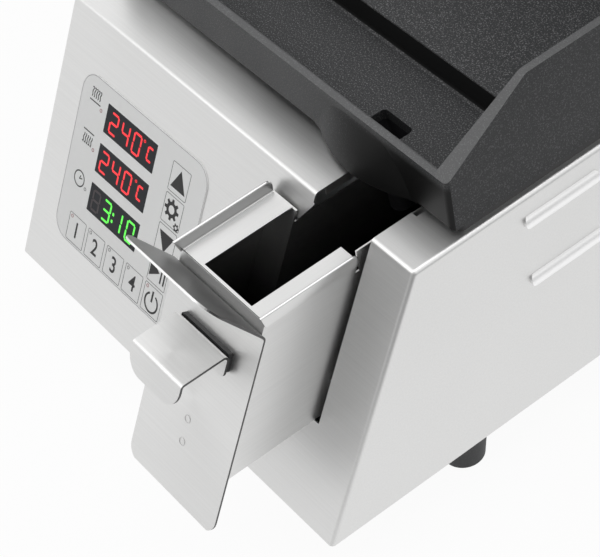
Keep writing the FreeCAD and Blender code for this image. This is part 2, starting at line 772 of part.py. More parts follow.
def lower_plate():
    """Cast plate: splash walls on three sides, raised cooking face, front gutter and drain."""
    back_wall = PLATE_BACK - WALL_THICK
    outline = [(PLATE_FRONT, PLATE_BOTTOM), (PLATE_BACK, PLATE_BOTTOM), (PLATE_BACK, WALL_TOP),
               (RAMP_END, WALL_TOP), (PLATE_FRONT + 0.8, RIM_TOP), (PLATE_FRONT, RIM_TOP)]
    body = bar_x(outline, -PLATE_HALF, PLATE_HALF, [3, 3, 3, 6, 0, 0])
    around = corners(-PLATE_HALF, PLATE_HALF, PLATE_FRONT, PLATE_BACK)
    footprint = [(x, y, PLATE_BOTTOM - 1) for x, y in around]
    body = body.common(slab(footprint, PLATE_CORNER, (0, 0, 2 * HEIGHT)))
    high = WALL_TOP + 12
    rim_in = PLATE_FRONT + RIM_WIDTH
    trough = [
        (PLATE_FRONT - 15, RIM_TOP), (rim_in, RIM_TOP), (rim_in + 2, GUTTER_FLOOR),
        (GUTTER_BACK, GUTTER_FLOOR), (GUTTER_BACK, COOK_LEVEL),
        (back_wall - (WALL_TOP - COOK_LEVEL) * DRAFT, COOK_LEVEL),
        (back_wall + (high - WALL_TOP) * DRAFT, high), (PLATE_FRONT - 15, high),
    ]
    cavity = bar_x(trough, -HALF, HALF, [0, 2.0, 3.0, 1.0, 1.5, 5.0, 0, 0])
    wedge = [(-wall_inner(GUTTER_FLOOR), GUTTER_FLOOR), (wall_inner(GUTTER_FLOOR), GUTTER_FLOOR),
             (wall_inner(high), high), (-wall_inner(high), high)]
    between = slab([(x, PLATE_FRONT - 20, z) for x, z in wedge], [GUTTER_CORNER] * 2 + [0, 0], (0, DEPTH, 0))
    body = body.cut(cavity.common(between))
    skirt = SKIRT
    under = [
        (PLATE_FRONT + skirt, PLATE_BOTTOM - 1), (PLATE_BACK - skirt, PLATE_BOTTOM - 1),
        (PLATE_BACK - skirt, COOK_LEVEL - SLAB), (GUTTER_BACK + 6, COOK_LEVEL - SLAB),
        (GUTTER_BACK - 7, GUTTER_FLOOR - 6.5), (PLATE_FRONT + skirt, GUTTER_FLOOR - 6.5),
    ]
    hollow = bar_x(under, -PLATE_HALF + SIDE_SKIRT, PLATE_HALF - SIDE_SKIRT, [0, 0, 3, 3, 3, 1])
    bosses = [rod(BOSS_R, (x, y, PLATE_BOTTOM), (x, y, COOK_LEVEL - SLAB)) for x, y in plate_screw_places()]
    body = fused([body.cut(hollow)] + bosses)
    holes = [rod(SCREW_R + SCREW_FIT, (x, y, PLATE_BOTTOM - 1), (x, y, PLATE_BOTTOM + SCREW_REACH + 2))
             for x, y in plate_screw_places()]
    drain = corners(DRAIN_X - DRAIN_WIDTH / 2, DRAIN_X + DRAIN_WIDTH / 2,
                    DRAIN_Y - DRAIN_DEPTH / 2, DRAIN_Y + DRAIN_DEPTH / 2)
    holes.append(slab([(x, y, GUTTER_FLOOR - 12) for x, y in drain], 3, (0, 0, 14)))
    return fused([body, spout_bulge()]).cut(holes)


def spout_bulge():
    """Swelling of the plate's front wall over the drain, widest at its lower edge."""
    levels = ((PLATE_BOTTOM, 1.0, 1.0), (PLATE_BOTTOM + BULGE_MIDDLE_RISE, 0.9, 0.72),
              (RIM_TOP - BULGE_TOP_DROP, 0.55, 0.025))
    shares = ((-1.12, 0.0), (-1.0, 0.05), (-0.86, 0.26), (-0.6, 0.64), (-0.3, 0.91), (0.0, 1.0))
    shares += tuple((-x, y) for x, y in reversed(shares[:-1]))
    back = PLATE_FRONT + 3
    wires = []
    for z, narrow, shallow in levels:
        line = [Vector(DRAIN_X + x * BULGE_HALF * narrow, PLATE_FRONT + 0.3 - y * BULGE_OUT * shallow, z)
                for x, y in shares]
        curve = Part.BSplineCurve()
        curve.interpolate(line)
        path = [line[-1], Vector(line[-1].x, back, z), Vector(line[0].x, back, z), line[0]]
        wires.append(Part.Wire([curve.toShape()] + [Part.makeLine(a, b) for a, b in zip(path, path[1:])]))
    return Part.makeLoft(wires, True)


def plate_screw_places():
    """Where the lower plate is screwed down from below."""
    x = HALF - TOP_LEDGE + 4.5
    return [(side * x, y) for side in (-1, 1) for y in (GUTTER_BACK + 14, PLATE_BACK - 18)]


def plate_screws():
    """Screws through the housing's ledges into the cast bosses."""
    screws = []
    for x, y in plate_screw_places():
        under, tip, r = HEIGHT - SHEET, PLATE_BOTTOM + SCREW_REACH, SCREW_HEAD_R
        head = under - SCREW_HEAD
        profile = [(0, head), (r, head), (r, under), (SCREW_R, under), (SCREW_R, tip), (0, tip)]
        screws.append(turned(profile, (x, y, 0), (0, 0, 1)))
    return Part.makeCompound(screws)


def plate_gasket():
    """Seal between the housing's ledge and the plate's lower edge, open at the drain."""
    side, front, back = PLATE_HALF - GASKET_INSET, PLATE_FRONT + GASKET_WIDTH, PLATE_BACK - GASKET_INSET
    outline = [(x, y, HEIGHT) for x, y in corners(-side, side, front, back)]
    outer = slab(outline, PLATE_CORNER, (0, 0, PLATE_GAP))
    inner = box(-side + GASKET_WIDTH, side - GASKET_WIDTH, front + GASKET_WIDTH, back - GASKET_WIDTH,
                HEIGHT - 1, PLATE_BOTTOM + 1)
    gap = box(CUT_LEFT - 6, CUT_RIGHT + 8, PLATE_FRONT, PLATE_FRONT + 20, HEIGHT - 1, PLATE_BOTTOM + 1)
    return outer.cut([inner, gap])


def drain_spout():
    """Funnel under the drain that drips into the drawer."""
    top = GUTTER_FLOOR - 6.5
    throat = top - 20
    bore, wall = SPOUT_BORE, SPOUT_WALL
    mouth = DRAIN_DEPTH / 2 + 1
    profile = [(bore, SPOUT_TIP), (bore + wall, SPOUT_TIP), (bore + wall + 1.4, throat),
               (mouth + wall, top), (mouth, top), (bore, throat + 3)]
    return turned(profile, (DRAIN_X, DRAIN_Y + 1, 0), (0, 0, 1))


def serpentine(half, y0, y1, z):
    """Tubular heater bent to and fro in one plane, with both ends at the back."""
    pitch = 2 * half / (ELEMENT_RUNS - 1)
    bend = pitch / 2
    near, far = y0 + bend, y1 - bend
    pieces = []
    for i in range(ELEMENT_RUNS):
        x = -half + i * pitch
        last = i == ELEMENT_RUNS - 1
        stop = y1 if i == 0 or last else far
        pieces.append(rod(ELEMENT_R, (x, near, z), (x, stop, z)))
        if not last:
            end, way = (near, 1) if i % 2 == 0 else (far, -1)
            ring = Part.Face(Part.Wire([Part.makeCircle(ELEMENT_R, Vector(x, end, z), Vector(0, 1, 0))]))
            pieces.append(ring.revolve(Vector(x + bend, end, z), Vector(0, 0, way), 180))
    return fused(pieces)


def post_places(half, spread):
    """Where the posts of a clamp sheet stand, between the heater's outer runs."""
    x = half - half / (ELEMENT_RUNS - 1)
    return [(side * x, PIVOT_Y + way * spread) for side in (-1, 1) for way in (-1, 1)]


def lower_element():
    """Heater clamped under the lower plate."""
    z = COOK_LEVEL - SLAB - ELEMENT_R - ELEMENT_CLEARANCE
    return serpentine(LOWER_HEAT_HALF, GUTTER_BACK + LOWER_HEAT_MARGIN, PLATE_BACK - LOWER_HEAT_MARGIN, z)


def lower_clamp():
    """Steel sheet that presses the heater up, screwed to the plate through its posts."""
    half, margin = LOWER_HEAT_HALF + CLAMP_OVER_SIDE, LOWER_HEAT_MARGIN - CLAMP_OVER_END
    sheet = box(-half, half, GUTTER_BACK + margin, PLATE_BACK - margin, CLAMP_TOP - CLAMP_THICK, CLAMP_TOP)
    posts = [rod(CLAMP_POST_R, (x, y, CLAMP_TOP - 0.5), (x, y, COOK_LEVEL - SLAB))
             for x, y in post_places(LOWER_HEAT_HALF, LOWER_POST_SPREAD)]
    return fused([sheet] + posts)


def lower_insulation():
    """Fibre pad under the clamp sheet."""
    half = LOWER_HEAT_HALF + CLAMP_OVER_SIDE - PAD_STEP
    margin = LOWER_HEAT_MARGIN - CLAMP_OVER_END + PAD_STEP
    top = CLAMP_TOP - CLAMP_THICK
    return box(-half, half, GUTTER_BACK + margin, PLATE_BACK - margin, top - PAD_THICK, top)


def lower_pan():
    """Shallow steel pan that carries the insulation from the housing's ledges."""
    top = CLAMP_TOP - CLAMP_THICK - PAD_THICK
    half, y0, y1 = LOWER_HEAT_HALF + PAN_OVER, GUTTER_BACK + PAN_MARGIN, PLATE_BACK - PAN_MARGIN
    t = PAN_SHEET
    pan = box(-half, half, y0, y1, top - t, top + PAN_RIM)
    pan = pan.cut(box(-half + t, half - t, y0 + t, y1 - t, top, top + PAN_RIM + 1))
    edge = HALF - TOP_LEDGE + t
    wings = []
    for y in (y0 + WING_INSET, y1 - WING_INSET - WING_WIDTH):
        ahead = y + WING_WIDTH
        wing = [box(half - t, edge + t, y, ahead, top - t, top), box(edge, edge + t, y, ahead, HEIGHT, top),
                box(edge, edge + WING_TOE, y, ahead, HEIGHT, HEIGHT + t)]
        wings += wing + [mirrored(piece) for piece in wing]
    return fused([pan] + wings)


def probe_profile():
    """Half outline of a probe: a flat head on a thin stem."""
    r, head = PROBE_R, PROBE_HEAD_R
    return [(0, 0), (head, 0), (head, PROBE_HEAD), (r, PROBE_HEAD), (r, PROBE_LENGTH), (0, PROBE_LENGTH)]


def probe(x, y, top):
    """Temperature probe pressed against a plate from its cold side."""
    return turned([(r, top - h) for r, h in probe_profile()], (x, y, 0), (0, 0, 1))


def safety_cutout():
    """Resettable cut-out on the heat shield."""
    x, z = CUTOUT_X, CUTOUT_Z
    y = PLATE_FRONT + FLANGE + SHIELD_WALL_GAP + SHIELD_WALL_SHEET
    body = rod(CUTOUT_R, (x, y, z), (x, y + CUTOUT_LENGTH, z))
    half, tall = CUTOUT_FLANGE / 2, CUTOUT_R * 0.65
    return fused([body, box(x - half, x + half, y, y + 1.2, z - tall, z + tall)])


def drawer_front():
    """Drawer's front sheet: parallel to the panel, then bent forwards and up as a splash shield."""
    mid = DRAWER_OUT - DRAWER_SHEET / 2 / COS
    lean = math.radians(SHIELD_LEAN)
    foot_z, top_z = FRONT_BOTTOM * COS, FRONT_TOP * COS
    top_y = top_z * TAN - mid
    reach = SHIELD_LENGTH
    tip = (top_y - reach * math.sin(lean), top_z + reach * math.cos(lean))
    path = [(foot_z * TAN - mid, foot_z), (top_y, top_z), tip]
    sheet = bent_sheet(path, DRAWER_SHEET, SHIELD_BEND, FRONT_LEFT, FRONT_RIGHT)
    tall = FRONT_TOP + 2 * SHIELD_LENGTH
    outline = corners(FRONT_LEFT, FRONT_RIGHT, FRONT_BOTTOM - 0.5, tall)
    lower = flat(outline, [FRONT_CORNER, FRONT_CORNER, 0, 0], -20, 90)
    lower = on_panel(lower, 0.0, DRAWER_OUT)
    end = corners(FRONT_LEFT, FRONT_RIGHT, -2 * FRONT_TOP, reach + 0.1)
    upper = flat(end, [0, 0, SHIELD_CORNER, SHIELD_CORNER], -140, 140)
    upper.Placement = Placement(Vector(0, top_y, top_z), Rotation(Vector(1, 0, 0), 90 + SHIELD_LEAN))
    return sheet.common(lower).common(upper)


def front_line(z):
    """Y of the drawer box's front wall at a height: just behind the front sheet."""
    return z * TAN - DRAWER_OUT + (DRAWER_SHEET + 0.1) / COS


def drawer_box():
    """Folded box: wide in front of the panel, narrower where it goes through the cut-out."""
    t = BOX_SHEET
    low, rim = BOX_BOTTOM, LEDGE_LEVEL
    shoulder = 1.0 / COS

    def wide(inset, top):
        z0 = low + inset
        front = inset / COS
        line = [(front_line(z0) + front, z0), (front_line(top) + front, top),
                (top * TAN - shoulder - front, top), (z0 * TAN - shoulder - front, z0)]
        return bar_x(line, BOX_LEFT + inset, BOX_RIGHT - inset)

    start = CUT_BOTTOM * SIN
    outer = fused([wide(0.0, rim), box(BOX_NARROW, BOX_RIGHT, start, BOX_BACK, low, BOX_LOW_TOP),
                   box(BOX_RIGHT - t, BOX_RIGHT, RIM_BACK + SEAT_GAP, BOX_BACK, rim - 20, BOX_HIGH_TOP)])
    channel = box(BOX_NARROW + t, BOX_RIGHT - t, start - 4, BOX_BACK - t, low + t, BOX_HIGH_TOP + 1)
    inner = fused([wide(t, rim + 1), channel])
    keep = outer.cut(inner)
    left, right, over = BOX_NARROW - 1, BOX_RIGHT + 1, BOX_HIGH_TOP + 1
    lowered = box(left, right, BOX_BACK - t - 0.5, BOX_BACK + 1, BOX_BACK_TOP, over)
    slope = [(BOX_BACK - BOX_SLOPE, over), (BOX_BACK + 1, over), (BOX_BACK + 1, BOX_BACK_TOP)]
    return keep.cut([lowered, bar_x(slope, left, right)])


def drawer_rim():
    """Folded rim on the front half of the box: inner ledges, raised lips and hems over the walls."""
    t = BOX_SHEET
    z0, z1 = LEDGE_LEVEL, LEDGE_LEVEL + LIP_HEIGHT
    low = z1 - HEM_DROP
    front = front_line(z0) + 0.6
    ledge = box(BOX_LEFT, BOX_RIGHT, front, RIM_BACK, z0, z0 + t)
    well = [(BOX_LEFT + LEDGE_LEFT, front + LEDGE_FRONT), (BOX_RIGHT - LEDGE_RIGHT, front + LEDGE_FRONT),
            (BOX_RIGHT - LEDGE_RIGHT, RIM_BACK + 5), (BOX_LEFT + LEDGE_LEFT, RIM_BACK + 5)]
    ledge = ledge.cut(slab([(x, y, z0 - 1) for x, y in well], 0, (0, 0, t + 2)))
    parts = [ledge]
    for inner, outer in ((BOX_LEFT + t, BOX_LEFT - t), (BOX_RIGHT - t, BOX_RIGHT + t)):
        lo, hi = min(inner, outer), max(inner, outer)
        hem = box(lo, hi, front, RIM_BACK, low, z1)
        slot = box(BOX_LEFT, BOX_RIGHT, front - 1, RIM_BACK + 1, low - 1, z0)
        hem = hem.cut(slot)
        outline = [(lo - 1, y, z) for y, z in corners(front, RIM_BACK, low, z1)]
        parts.append(hem.common(slab(outline, [0, 0, 5, 1.5], (hi - lo + 2, 0, 0))))
    return fused(parts)


def rivet_places():
    """Where the handle is riveted, on the drawer's front."""
    p = HANDLE_LEVEL / COS - HANDLE_FOOT / 2 - 1.5
    return [(DRAWER_MIDDLE - 12, p), (DRAWER_MIDDLE + 12, p)]


def rivet_holes():
    """Holes for the rivets through the spacer and the handle's foot."""
    top = HANDLE_SPACER + HANDLE_SHEET + 1
    holes = [rod(RIVET_R + SCREW_FIT / 2, (x, p, -1), (x, p, top)) for x, p in rivet_places()]
    return [on_panel(hole, 0.0, DRAWER_OUT) for hole in holes]


def drawer_handle():
    """Bent grip: foot on the spacer, flat top, front lip parallel to the drawer's front."""
    back = DRAWER_OUT + (HANDLE_SPACER + HANDLE_SHEET / 2) / COS
    z = HANDLE_LEVEL
    y = z * TAN - back
    path = [(y - HANDLE_FOOT * SIN, z - HANDLE_FOOT * COS), (y, z), (y - HANDLE_REACH, z),
            (y - HANDLE_REACH - HANDLE_LIP * SIN, z - HANDLE_LIP * COS)]
    x0, x1 = DRAWER_MIDDLE - HANDLE_WIDTH / 2, DRAWER_MIDDLE + HANDLE_WIDTH / 2
    sheet = bent_sheet(path, HANDLE_SHEET, 2.4, x0, x1)
    slope_z = z / COS
    end = (path[-1][1] - HANDLE_SHEET) / COS
    between, over = HANDLE_REACH * COS * 0.6, slope_z + HANDLE_REACH + HANDLE_LIP
    lip = flat(corners(x0, x1, end, over), [HANDLE_CORNER, HANDLE_CORNER, 0, 0], between, 2 * over)
    lip = on_panel(lip, 0.0, DRAWER_OUT)
    foot_end = slope_z - HANDLE_FOOT - 0.6
    rear = flat(corners(x0, x1, foot_end, over), [3, 3, 0, 0], -5, between)
    rear = on_panel(rear, 0.0, DRAWER_OUT)
    return sheet.common(fused([lip, rear])).cut(rivet_holes())


def handle_spacer():
    """Insulating pad between the handle's foot and the drawer's front."""
    slope_z = HANDLE_LEVEL / COS
    points = corners(DRAWER_MIDDLE - HANDLE_WIDTH / 2 + 1, DRAWER_MIDDLE + HANDLE_WIDTH / 2 - 1,
                     slope_z - HANDLE_FOOT + 0.3, slope_z - 2.5)
    return on_panel(flat(points, [3, 3, 1, 1], 0, HANDLE_SPACER), 0.0, DRAWER_OUT).cut(rivet_holes())


def handle_rivets():
    """Two rivets from the drawer's front through the spacer and the handle's foot."""
    rivets = []
    for x, p in rivet_places():
        top = HANDLE_SPACER + HANDLE_SHEET
        head = turned([(0, top), (3, top), (2.4, top + 1), (0, top + 1.3)], (x, p, 0), (0, 0, 1))
        rivets.append(on_panel(fused([head, rod(RIVET_R, (x, p, 0), (x, p, top + 0.2))]), 0.0, DRAWER_OUT))
    return Part.makeCompound(rivets)


def hinge_tower():
    """Folded cover over the hinge, open below."""
    y0, y1 = DEPTH - TOWER_DEPTH, DEPTH
    z1 = HINGE_LEVEL + TOWER_OVER

    def form(inset, drop):
        line = corners(y0 + inset, y1 - inset, HEIGHT - drop, z1 - inset)
        half, rounds = TOWER_HALF - inset, [0, 0, TOWER_BACK_R - inset, TOWER_FRONT_R - inset]
        return bar_x(line, -half, half, rounds)

    tower = form(0.0, 0.0).cut(form(SHEET, 1.0))
    bore = HUB_HOLE_R
    holes = [rod(bore, (-TOWER_HALF - 1, HINGE_Y, HINGE_LEVEL), (TOWER_HALF + 1, HINGE_Y, HINGE_LEVEL)),
             rod(SOCKET_NECK_R + 0.1, (0, HINGE_Y, z1 - 4), (0, HINGE_Y, z1 + 2))]
    slots = []
    z = HEIGHT + TOWER_SLOT_RISE
    for i in range(TOWER_SLOTS):
        x = (i - TOWER_SLOTS / 2) * TOWER_SLOT_PITCH + TOWER_SLOT_LENGTH / 2
        slots.append(box(x, x + TOWER_SLOT_LENGTH, y1 - 3, y1 + 1, z, z + REAR_SLOT_WIDTH))
    return tower.cut(holes + slots)


def hinge_bracket(side):
    """Steel plate that stands on the housing's top and carries one bush."""
    x1 = TOWER_HALF - SHEET - BRACKET_GAP
    x0 = x1 - BRACKET_THICK
    y0, y1 = DEPTH - TOWER_DEPTH + BRACKET_INSET, DEPTH - BRACKET_INSET
    crown, half = HINGE_LEVEL + BRACKET_OVER, BRACKET_CROWN / 2
    outline = [(y0, HEIGHT), (y1, HEIGHT), (y1, HINGE_LEVEL + 6), (HINGE_Y + half, crown),
               (HINGE_Y - half, crown), (y0, HINGE_LEVEL - 6)]
    plate = bar_x(outline, x0, x1, [0, 0, 4, 6, 6, 4])
    toe = box(x0 - BRACKET_TOE, x1, y0, y1, HEIGHT, HEIGHT + BRACKET_THICK)
    bore = rod(SHAFT_R + BUSH_WALL, (x0 - 1, HINGE_Y, HINGE_LEVEL), (x1 + 1, HINGE_Y, HINGE_LEVEL))
    holes = [screw_hole(x, y, HEIGHT) for x, y in bracket_screw_places(1)]
    bracket = fused([plate, toe]).cut([bore] + holes)
    return bracket if side > 0 else mirrored(bracket)


def bracket_screw_places(side):
    """Where one hinge bracket is screwed to the housing's top."""
    x = TOWER_HALF - SHEET - BRACKET_GAP - BRACKET_THICK - BRACKET_TOE / 2
    inset = BRACKET_INSET + BRACKET_SCREW_INSET
    return [(side * x, y) for y in (DEPTH - TOWER_DEPTH + inset, DEPTH - inset)]


def bracket_screws():
    """Two screws in each hinge bracket's toe."""
    screws = []
    z = HEIGHT + BRACKET_THICK
    for side in (-1, 1):
        for x, y in bracket_screw_places(side):
            profile = [(0, z - 8), (SCREW_R, z - 8), (SCREW_R, z), (5, z), (5, z + 2.4), (3.8, z + 3.2),
                       (0, z + 3.2)]
            screws.append(turned(profile, (x, y, 0), (0, 0, 1)))
    return Part.makeCompound(screws)


def hinge_bush(side):
    """Flanged bronze bush pressed into its bracket."""
    x1 = TOWER_HALF - SHEET - BRACKET_GAP
    x0 = x1 - BRACKET_THICK
    bore = SHAFT_R + SHAFT_CLEARANCE
    outer = SHAFT_R + BUSH_WALL
    profile = [(bore, x0 - 2), (outer + 3, x0 - 2), (outer + 3, x0), (outer, x0), (outer, x1), (bore, x1)]
    bush = turned(profile, (0, HINGE_Y, HINGE_LEVEL), (1, 0, 0))
    return bush if side > 0 else mirrored(bush)


def hinge_shaft():
    """Shaft through both bushes, flattened where the arms sit on it."""
    end = ARM_INNER + ARM_THICK + NUT_THICK
    return opened(rod(SHAFT_R, (-end, HINGE_Y, HINGE_LEVEL), (end, HINGE_Y, HINGE_LEVEL)))


def dome(radius, rise):
    """Half outline of a domed cap with a short straight side."""
    return [(0, 0), (radius, 0), (radius, rise * 0.4), (radius * 0.78, rise * 0.79),
            (radius * 0.4, rise * 0.97), (0, rise)]


def shaft_nuts():
    """Cap nuts that hold the arms on the shaft."""
    nuts = []
    start = ARM_INNER + ARM_THICK
    for side in (-1, 1):
        angles = [math.radians(60 * k) for k in range(6)]
        hexagon = [(side * start, HINGE_Y + NUT_R * math.cos(a), HINGE_LEVEL + NUT_R * math.sin(a))
                   for a in angles]
        nut = slab(hexagon, 0, (side * NUT_THICK, 0, 0))
        end = side * (start + NUT_THICK)
        cap = turned(dome(NUT_R * 0.8, CAP_RISE), (end, HINGE_Y, HINGE_LEVEL), (side, 0, 0))
        bore = rod(SHAFT_R, (side * (start - 1), HINGE_Y, HINGE_LEVEL), (end, HINGE_Y, HINGE_LEVEL))
        nuts.append(opened(fused([nut.cut(bore), cap])))
    return Part.makeCompound(nuts)


def spring_collar(side):
    """Collar fixed on the shaft that winds one spring."""
    end = SPRING_START - SEAT_GAP
    start = end - COLLAR_WIDTH
    profile = [(SHAFT_R, start), (SPRING_R + 2, start), (SPRING_R + 2, end), (SHAFT_R, end)]
    collar = turned(profile, (0, HINGE_Y, HINGE_LEVEL), (1, 0, 0))
    return opened(collar if side > 0 else mirrored(collar))


def torsion_spring(side):
    """Close-wound spring round the shaft, with a leg that bears on the tower's front wall.

    The turns touch, so the coil is drawn as one ridged sleeve.
    """
    wire_r = SPRING_WIRE / 2
    inner = SPRING_R - wire_r
    ridges = []
    for i in range(SPRING_TURNS):
        foot = i * SPRING_WIRE
        for share, lift in ((0.0, 0.0), (0.22, 0.8), (0.5, 1.0), (0.78, 0.8)):
            ridges.append((SPRING_R + wire_r * lift, foot + SPRING_WIRE * share))
    length = SPRING_TURNS * SPRING_WIRE
    coil = turned(ridges + [(SPRING_R, length), (inner, length), (inner, 0)], (0, 0, 0), (0, 0, 1))
    leg_end = DEPTH - TOWER_DEPTH + SHEET + SEAT_GAP - HINGE_Y
    leg = rod(wire_r * 0.8, (SPRING_R, -2, wire_r), (SPRING_R, leg_end, wire_r))
    spring = fused([coil, leg])
    spring.Placement = Placement(Vector(SPRING_START, HINGE_Y, HINGE_LEVEL), Rotation(Vector(0, 1, 0), 90))
    return spring if side > 0 else mirrored(spring)


def lid_stop(side):
    """Stop peg on the tower's side that the arm comes down to."""
    y = DEPTH - TOWER_DEPTH + STOP_R + 1
    lean = math.atan2(HINGE_LEVEL - PIVOT_LEVEL, HINGE_Y - PIVOT_Y)
    z = HINGE_LEVEL - (HINGE_Y - y) * math.tan(lean) - (ARM_HALF + SEAT_GAP + STOP_R) / math.cos(lean)
    end = ARM_INNER + ARM_THICK - TOWER_HALF
    profile = [(0, 0), (STOP_R, 0), (STOP_R, end - 1), (STOP_R - 1, end), (0, end)]
    peg = turned(profile, (TOWER_HALF, y, z), (1, 0, 0))
    return peg if side > 0 else mirrored(peg)


def lid_arm(side):
    """Flat lid arm from the shaft past the plate's pivot to the handle."""
    x0 = ARM_INNER
    joints = [(HINGE_Y, HINGE_LEVEL, HUB_R), (PIVOT_Y, PIVOT_LEVEL, ARM_HALF + 2),
              (HANDLE_BAR_Y, HANDLE_BAR_Z, ARM_HALF)]
    pieces = []
    for y, z, r in joints:
        pieces.append(rod(r, (x0, y, z), (x0 + ARM_THICK, y, z)))
    for (ya, za, _), (yb, zb, _) in zip(joints, joints[1:]):
        along = Vector(0, yb - ya, zb - za).normalize()
        across = Vector(0, -along.z, along.y) * ARM_HALF
        a, b = Vector(x0, ya, za), Vector(x0, yb, zb)
        quad = [a + across, b + across, b - across, a - across]
        pieces.append(slab([tuple(q) for q in quad], 0, (ARM_THICK, 0, 0)))
    arm = fused(pieces)
    bores = (SHAFT_R, PIVOT_R + PIVOT_CLEARANCE, HANDLE_BAR_R - BAR_SHOULDER)
    holes = [rod(r, (x0 - 1, y, z), (x0 + ARM_THICK + 1, y, z)) for r, (y, z, _) in zip(bores, joints)]
    arm = arm.cut(holes)
    return opened(arm if side > 0 else mirrored(arm))


def pivot_bolt(side):
    """Shoulder bolt from an arm into the upper plate's frame."""
    start, head, end = FRAME_HALF - FRAME_SHEET - 6, ARM_INNER + ARM_THICK, ARM_INNER + ARM_THICK + BOLT_HEAD
    profile = [(0, start), (PIVOT_R - 0.8, start), (PIVOT_R, start + 1), (PIVOT_R, head), (BOLT_HEAD_R, head),
               (BOLT_HEAD_R, end - 1.5), (BOLT_HEAD_R - 1.5, end), (0, end)]
    bolt = turned(profile, (0, PIVOT_Y, PIVOT_LEVEL), (1, 0, 0))
    return opened(bolt if side > 0 else mirrored(bolt))


def handle_bar():
    """Steel bar between the arms that carries the grip, with shouldered ends."""
    inner, outer = ARM_INNER, ARM_INNER + ARM_THICK
    thin = HANDLE_BAR_R - BAR_SHOULDER
    half = [(HANDLE_BAR_R, inner), (thin, inner), (thin, outer), (0, outer)]
    profile = [(r, -h) for r, h in reversed(half)] + half
    return opened(turned(profile, (0, HANDLE_BAR_Y, HANDLE_BAR_Z), (1, 0, 0)))


def handle_caps():
    """Domed nuts on both ends of the handle bar."""
    caps = []
    start = ARM_INNER + ARM_THICK
    for side in (-1, 1):
        place = (side * start, HANDLE_BAR_Y, HANDLE_BAR_Z)
        caps.append(opened(turned(dome(CAP_R, CAP_RISE), place, (side, 0, 0))))
    return Part.makeCompound(caps)


def handle_grip():
    """Waisted heat-proof grip on the handle bar."""
    end = ARM_INNER - GRIP_END_GAP
    bore = HANDLE_BAR_R
    waist, taper = GRIP_R - GRIP_WAIST, end - GRIP_BELL - GRIP_TAPER
    soft = GRIP_ROUND * 0.3
    half = [(waist, taper), (GRIP_R, end - GRIP_BELL), (GRIP_R, end - GRIP_ROUND),
            (GRIP_R - soft, end - soft), (GRIP_R - GRIP_ROUND, end), (bore, end)]
    profile = [(r, -h) for r, h in reversed(half)] + half
    return opened(turned(profile, (0, HANDLE_BAR_Y, HANDLE_BAR_Z), (1, 0, 0)))


def upper_plate():
    """Cast upper plate with ribs along its working face."""
    z0 = UPPER_BOTTOM
    z1 = z0 + RIB_HEIGHT
    count = int(2 * (UPPER_HALF - 6) / RIB_PITCH)
    start = -count * RIB_PITCH / 2
    points = [(-UPPER_HALF, UPPER_TOP), (-UPPER_HALF, z1 + 1)]
    for i in range(count):
        x = start + i * RIB_PITCH
        for share, z in ((0.14, z1), (0.32, z0), (0.68, z0), (0.86, z1)):
            points.append((x + RIB_PITCH * share, z))
    points += [(UPPER_HALF, z1 + 1), (UPPER_HALF, UPPER_TOP)]
    plate = slab([(x, UPPER_FRONT, z) for x, z in points], 0, (0, UPPER_DEPTH, 0))
    y0, y1 = UPPER_FRONT, UPPER_BACK
    ends = [(y0, UPPER_TOP), (y0, z1 + 2), (y0 + 4, z0 - 0.1), (y1 - 4, z0 - 0.1), (y1, z1 + 2),
            (y1, UPPER_TOP)]
    trimmed = plate.common(bar_x(ends, -HALF, HALF))
    footprint = [(x, y, z0 - 1) for x, y in corners(-UPPER_HALF, UPPER_HALF, y0, y1)]
    trimmed = trimmed.common(slab(footprint, UPPER_CORNER, (0, 0, UPPER_SLAB + 10)))
    return opened(trimmed)


def upper_hood():
    """Drawn cover over the upper plate's heater."""
    half, y0, y1 = UPPER_HALF - HOOD_INSET, UPPER_FRONT + HOOD_INSET, UPPER_BACK - HOOD_INSET
    top = UPPER_TOP + HOOD_HEIGHT

    def form(inset, low):
        points = [(x, y, low) for x, y in corners(-half + inset, half - inset, y0 + inset, y1 - inset)]
        block = slab(points, HOOD_CORNER + 0.5 - inset, (0, 0, top - inset - low))
        crown = edges_where(block, lambda a, b: a.z > top - inset - 0.01 and b.z > top - inset - 0.01)
        return block.makeFillet(HOOD_CORNER - inset, crown)

    hood = form(0.0, UPPER_TOP).cut(form(SHEET, UPPER_TOP - 1))
    z = PIVOT_LEVEL + SOCKET_RISE
    holes = [rod(PIVOT_R + 3, (-HALF, PIVOT_Y, PIVOT_LEVEL), (HALF, PIVOT_Y, PIVOT_LEVEL)),
             rod(SOCKET_NECK_R + 0.1, (0, y1 - 12, z), (0, y1 + 3, z))]
    return opened(hood.cut(holes))


def hood_socket():
    """Socket for the lead in the back of the hood; the lead itself is left out."""
    place = (0, UPPER_BACK - HOOD_INSET, PIVOT_LEVEL + SOCKET_RISE)
    return opened(turned(socket_profile(SOCKET_COLLAR_R - 0.5, 6.0), place, (0, 1, 0)))


def pivot_frame():
    """Bridge on the upper plate whose ears turn on the pivot bolts."""
    y0, y1 = PIVOT_Y - BRIDGE_HALF, PIVOT_Y + BRIDGE_HALF
    z0 = UPPER_TOP + HEATER_ROOM + CLAMP_THICK
    bridge = box(-FRAME_HALF, FRAME_HALF, y0, y1, z0, z0 + FRAME_SHEET)
    ear = bar_x([(y0, z0), (y1, z0), (PIVOT_Y + 11, PIVOT_LEVEL + 10), (PIVOT_Y - 11, PIVOT_LEVEL + 10)],
                FRAME_HALF - FRAME_SHEET, FRAME_HALF, [0, 0, 9, 9])
    bore = rod(PIVOT_R + PIVOT_CLEARANCE, (-HALF, PIVOT_Y, PIVOT_LEVEL), (HALF, PIVOT_Y, PIVOT_LEVEL))
    return opened(fused([bridge, ear, mirrored(ear)]).cut(bore))


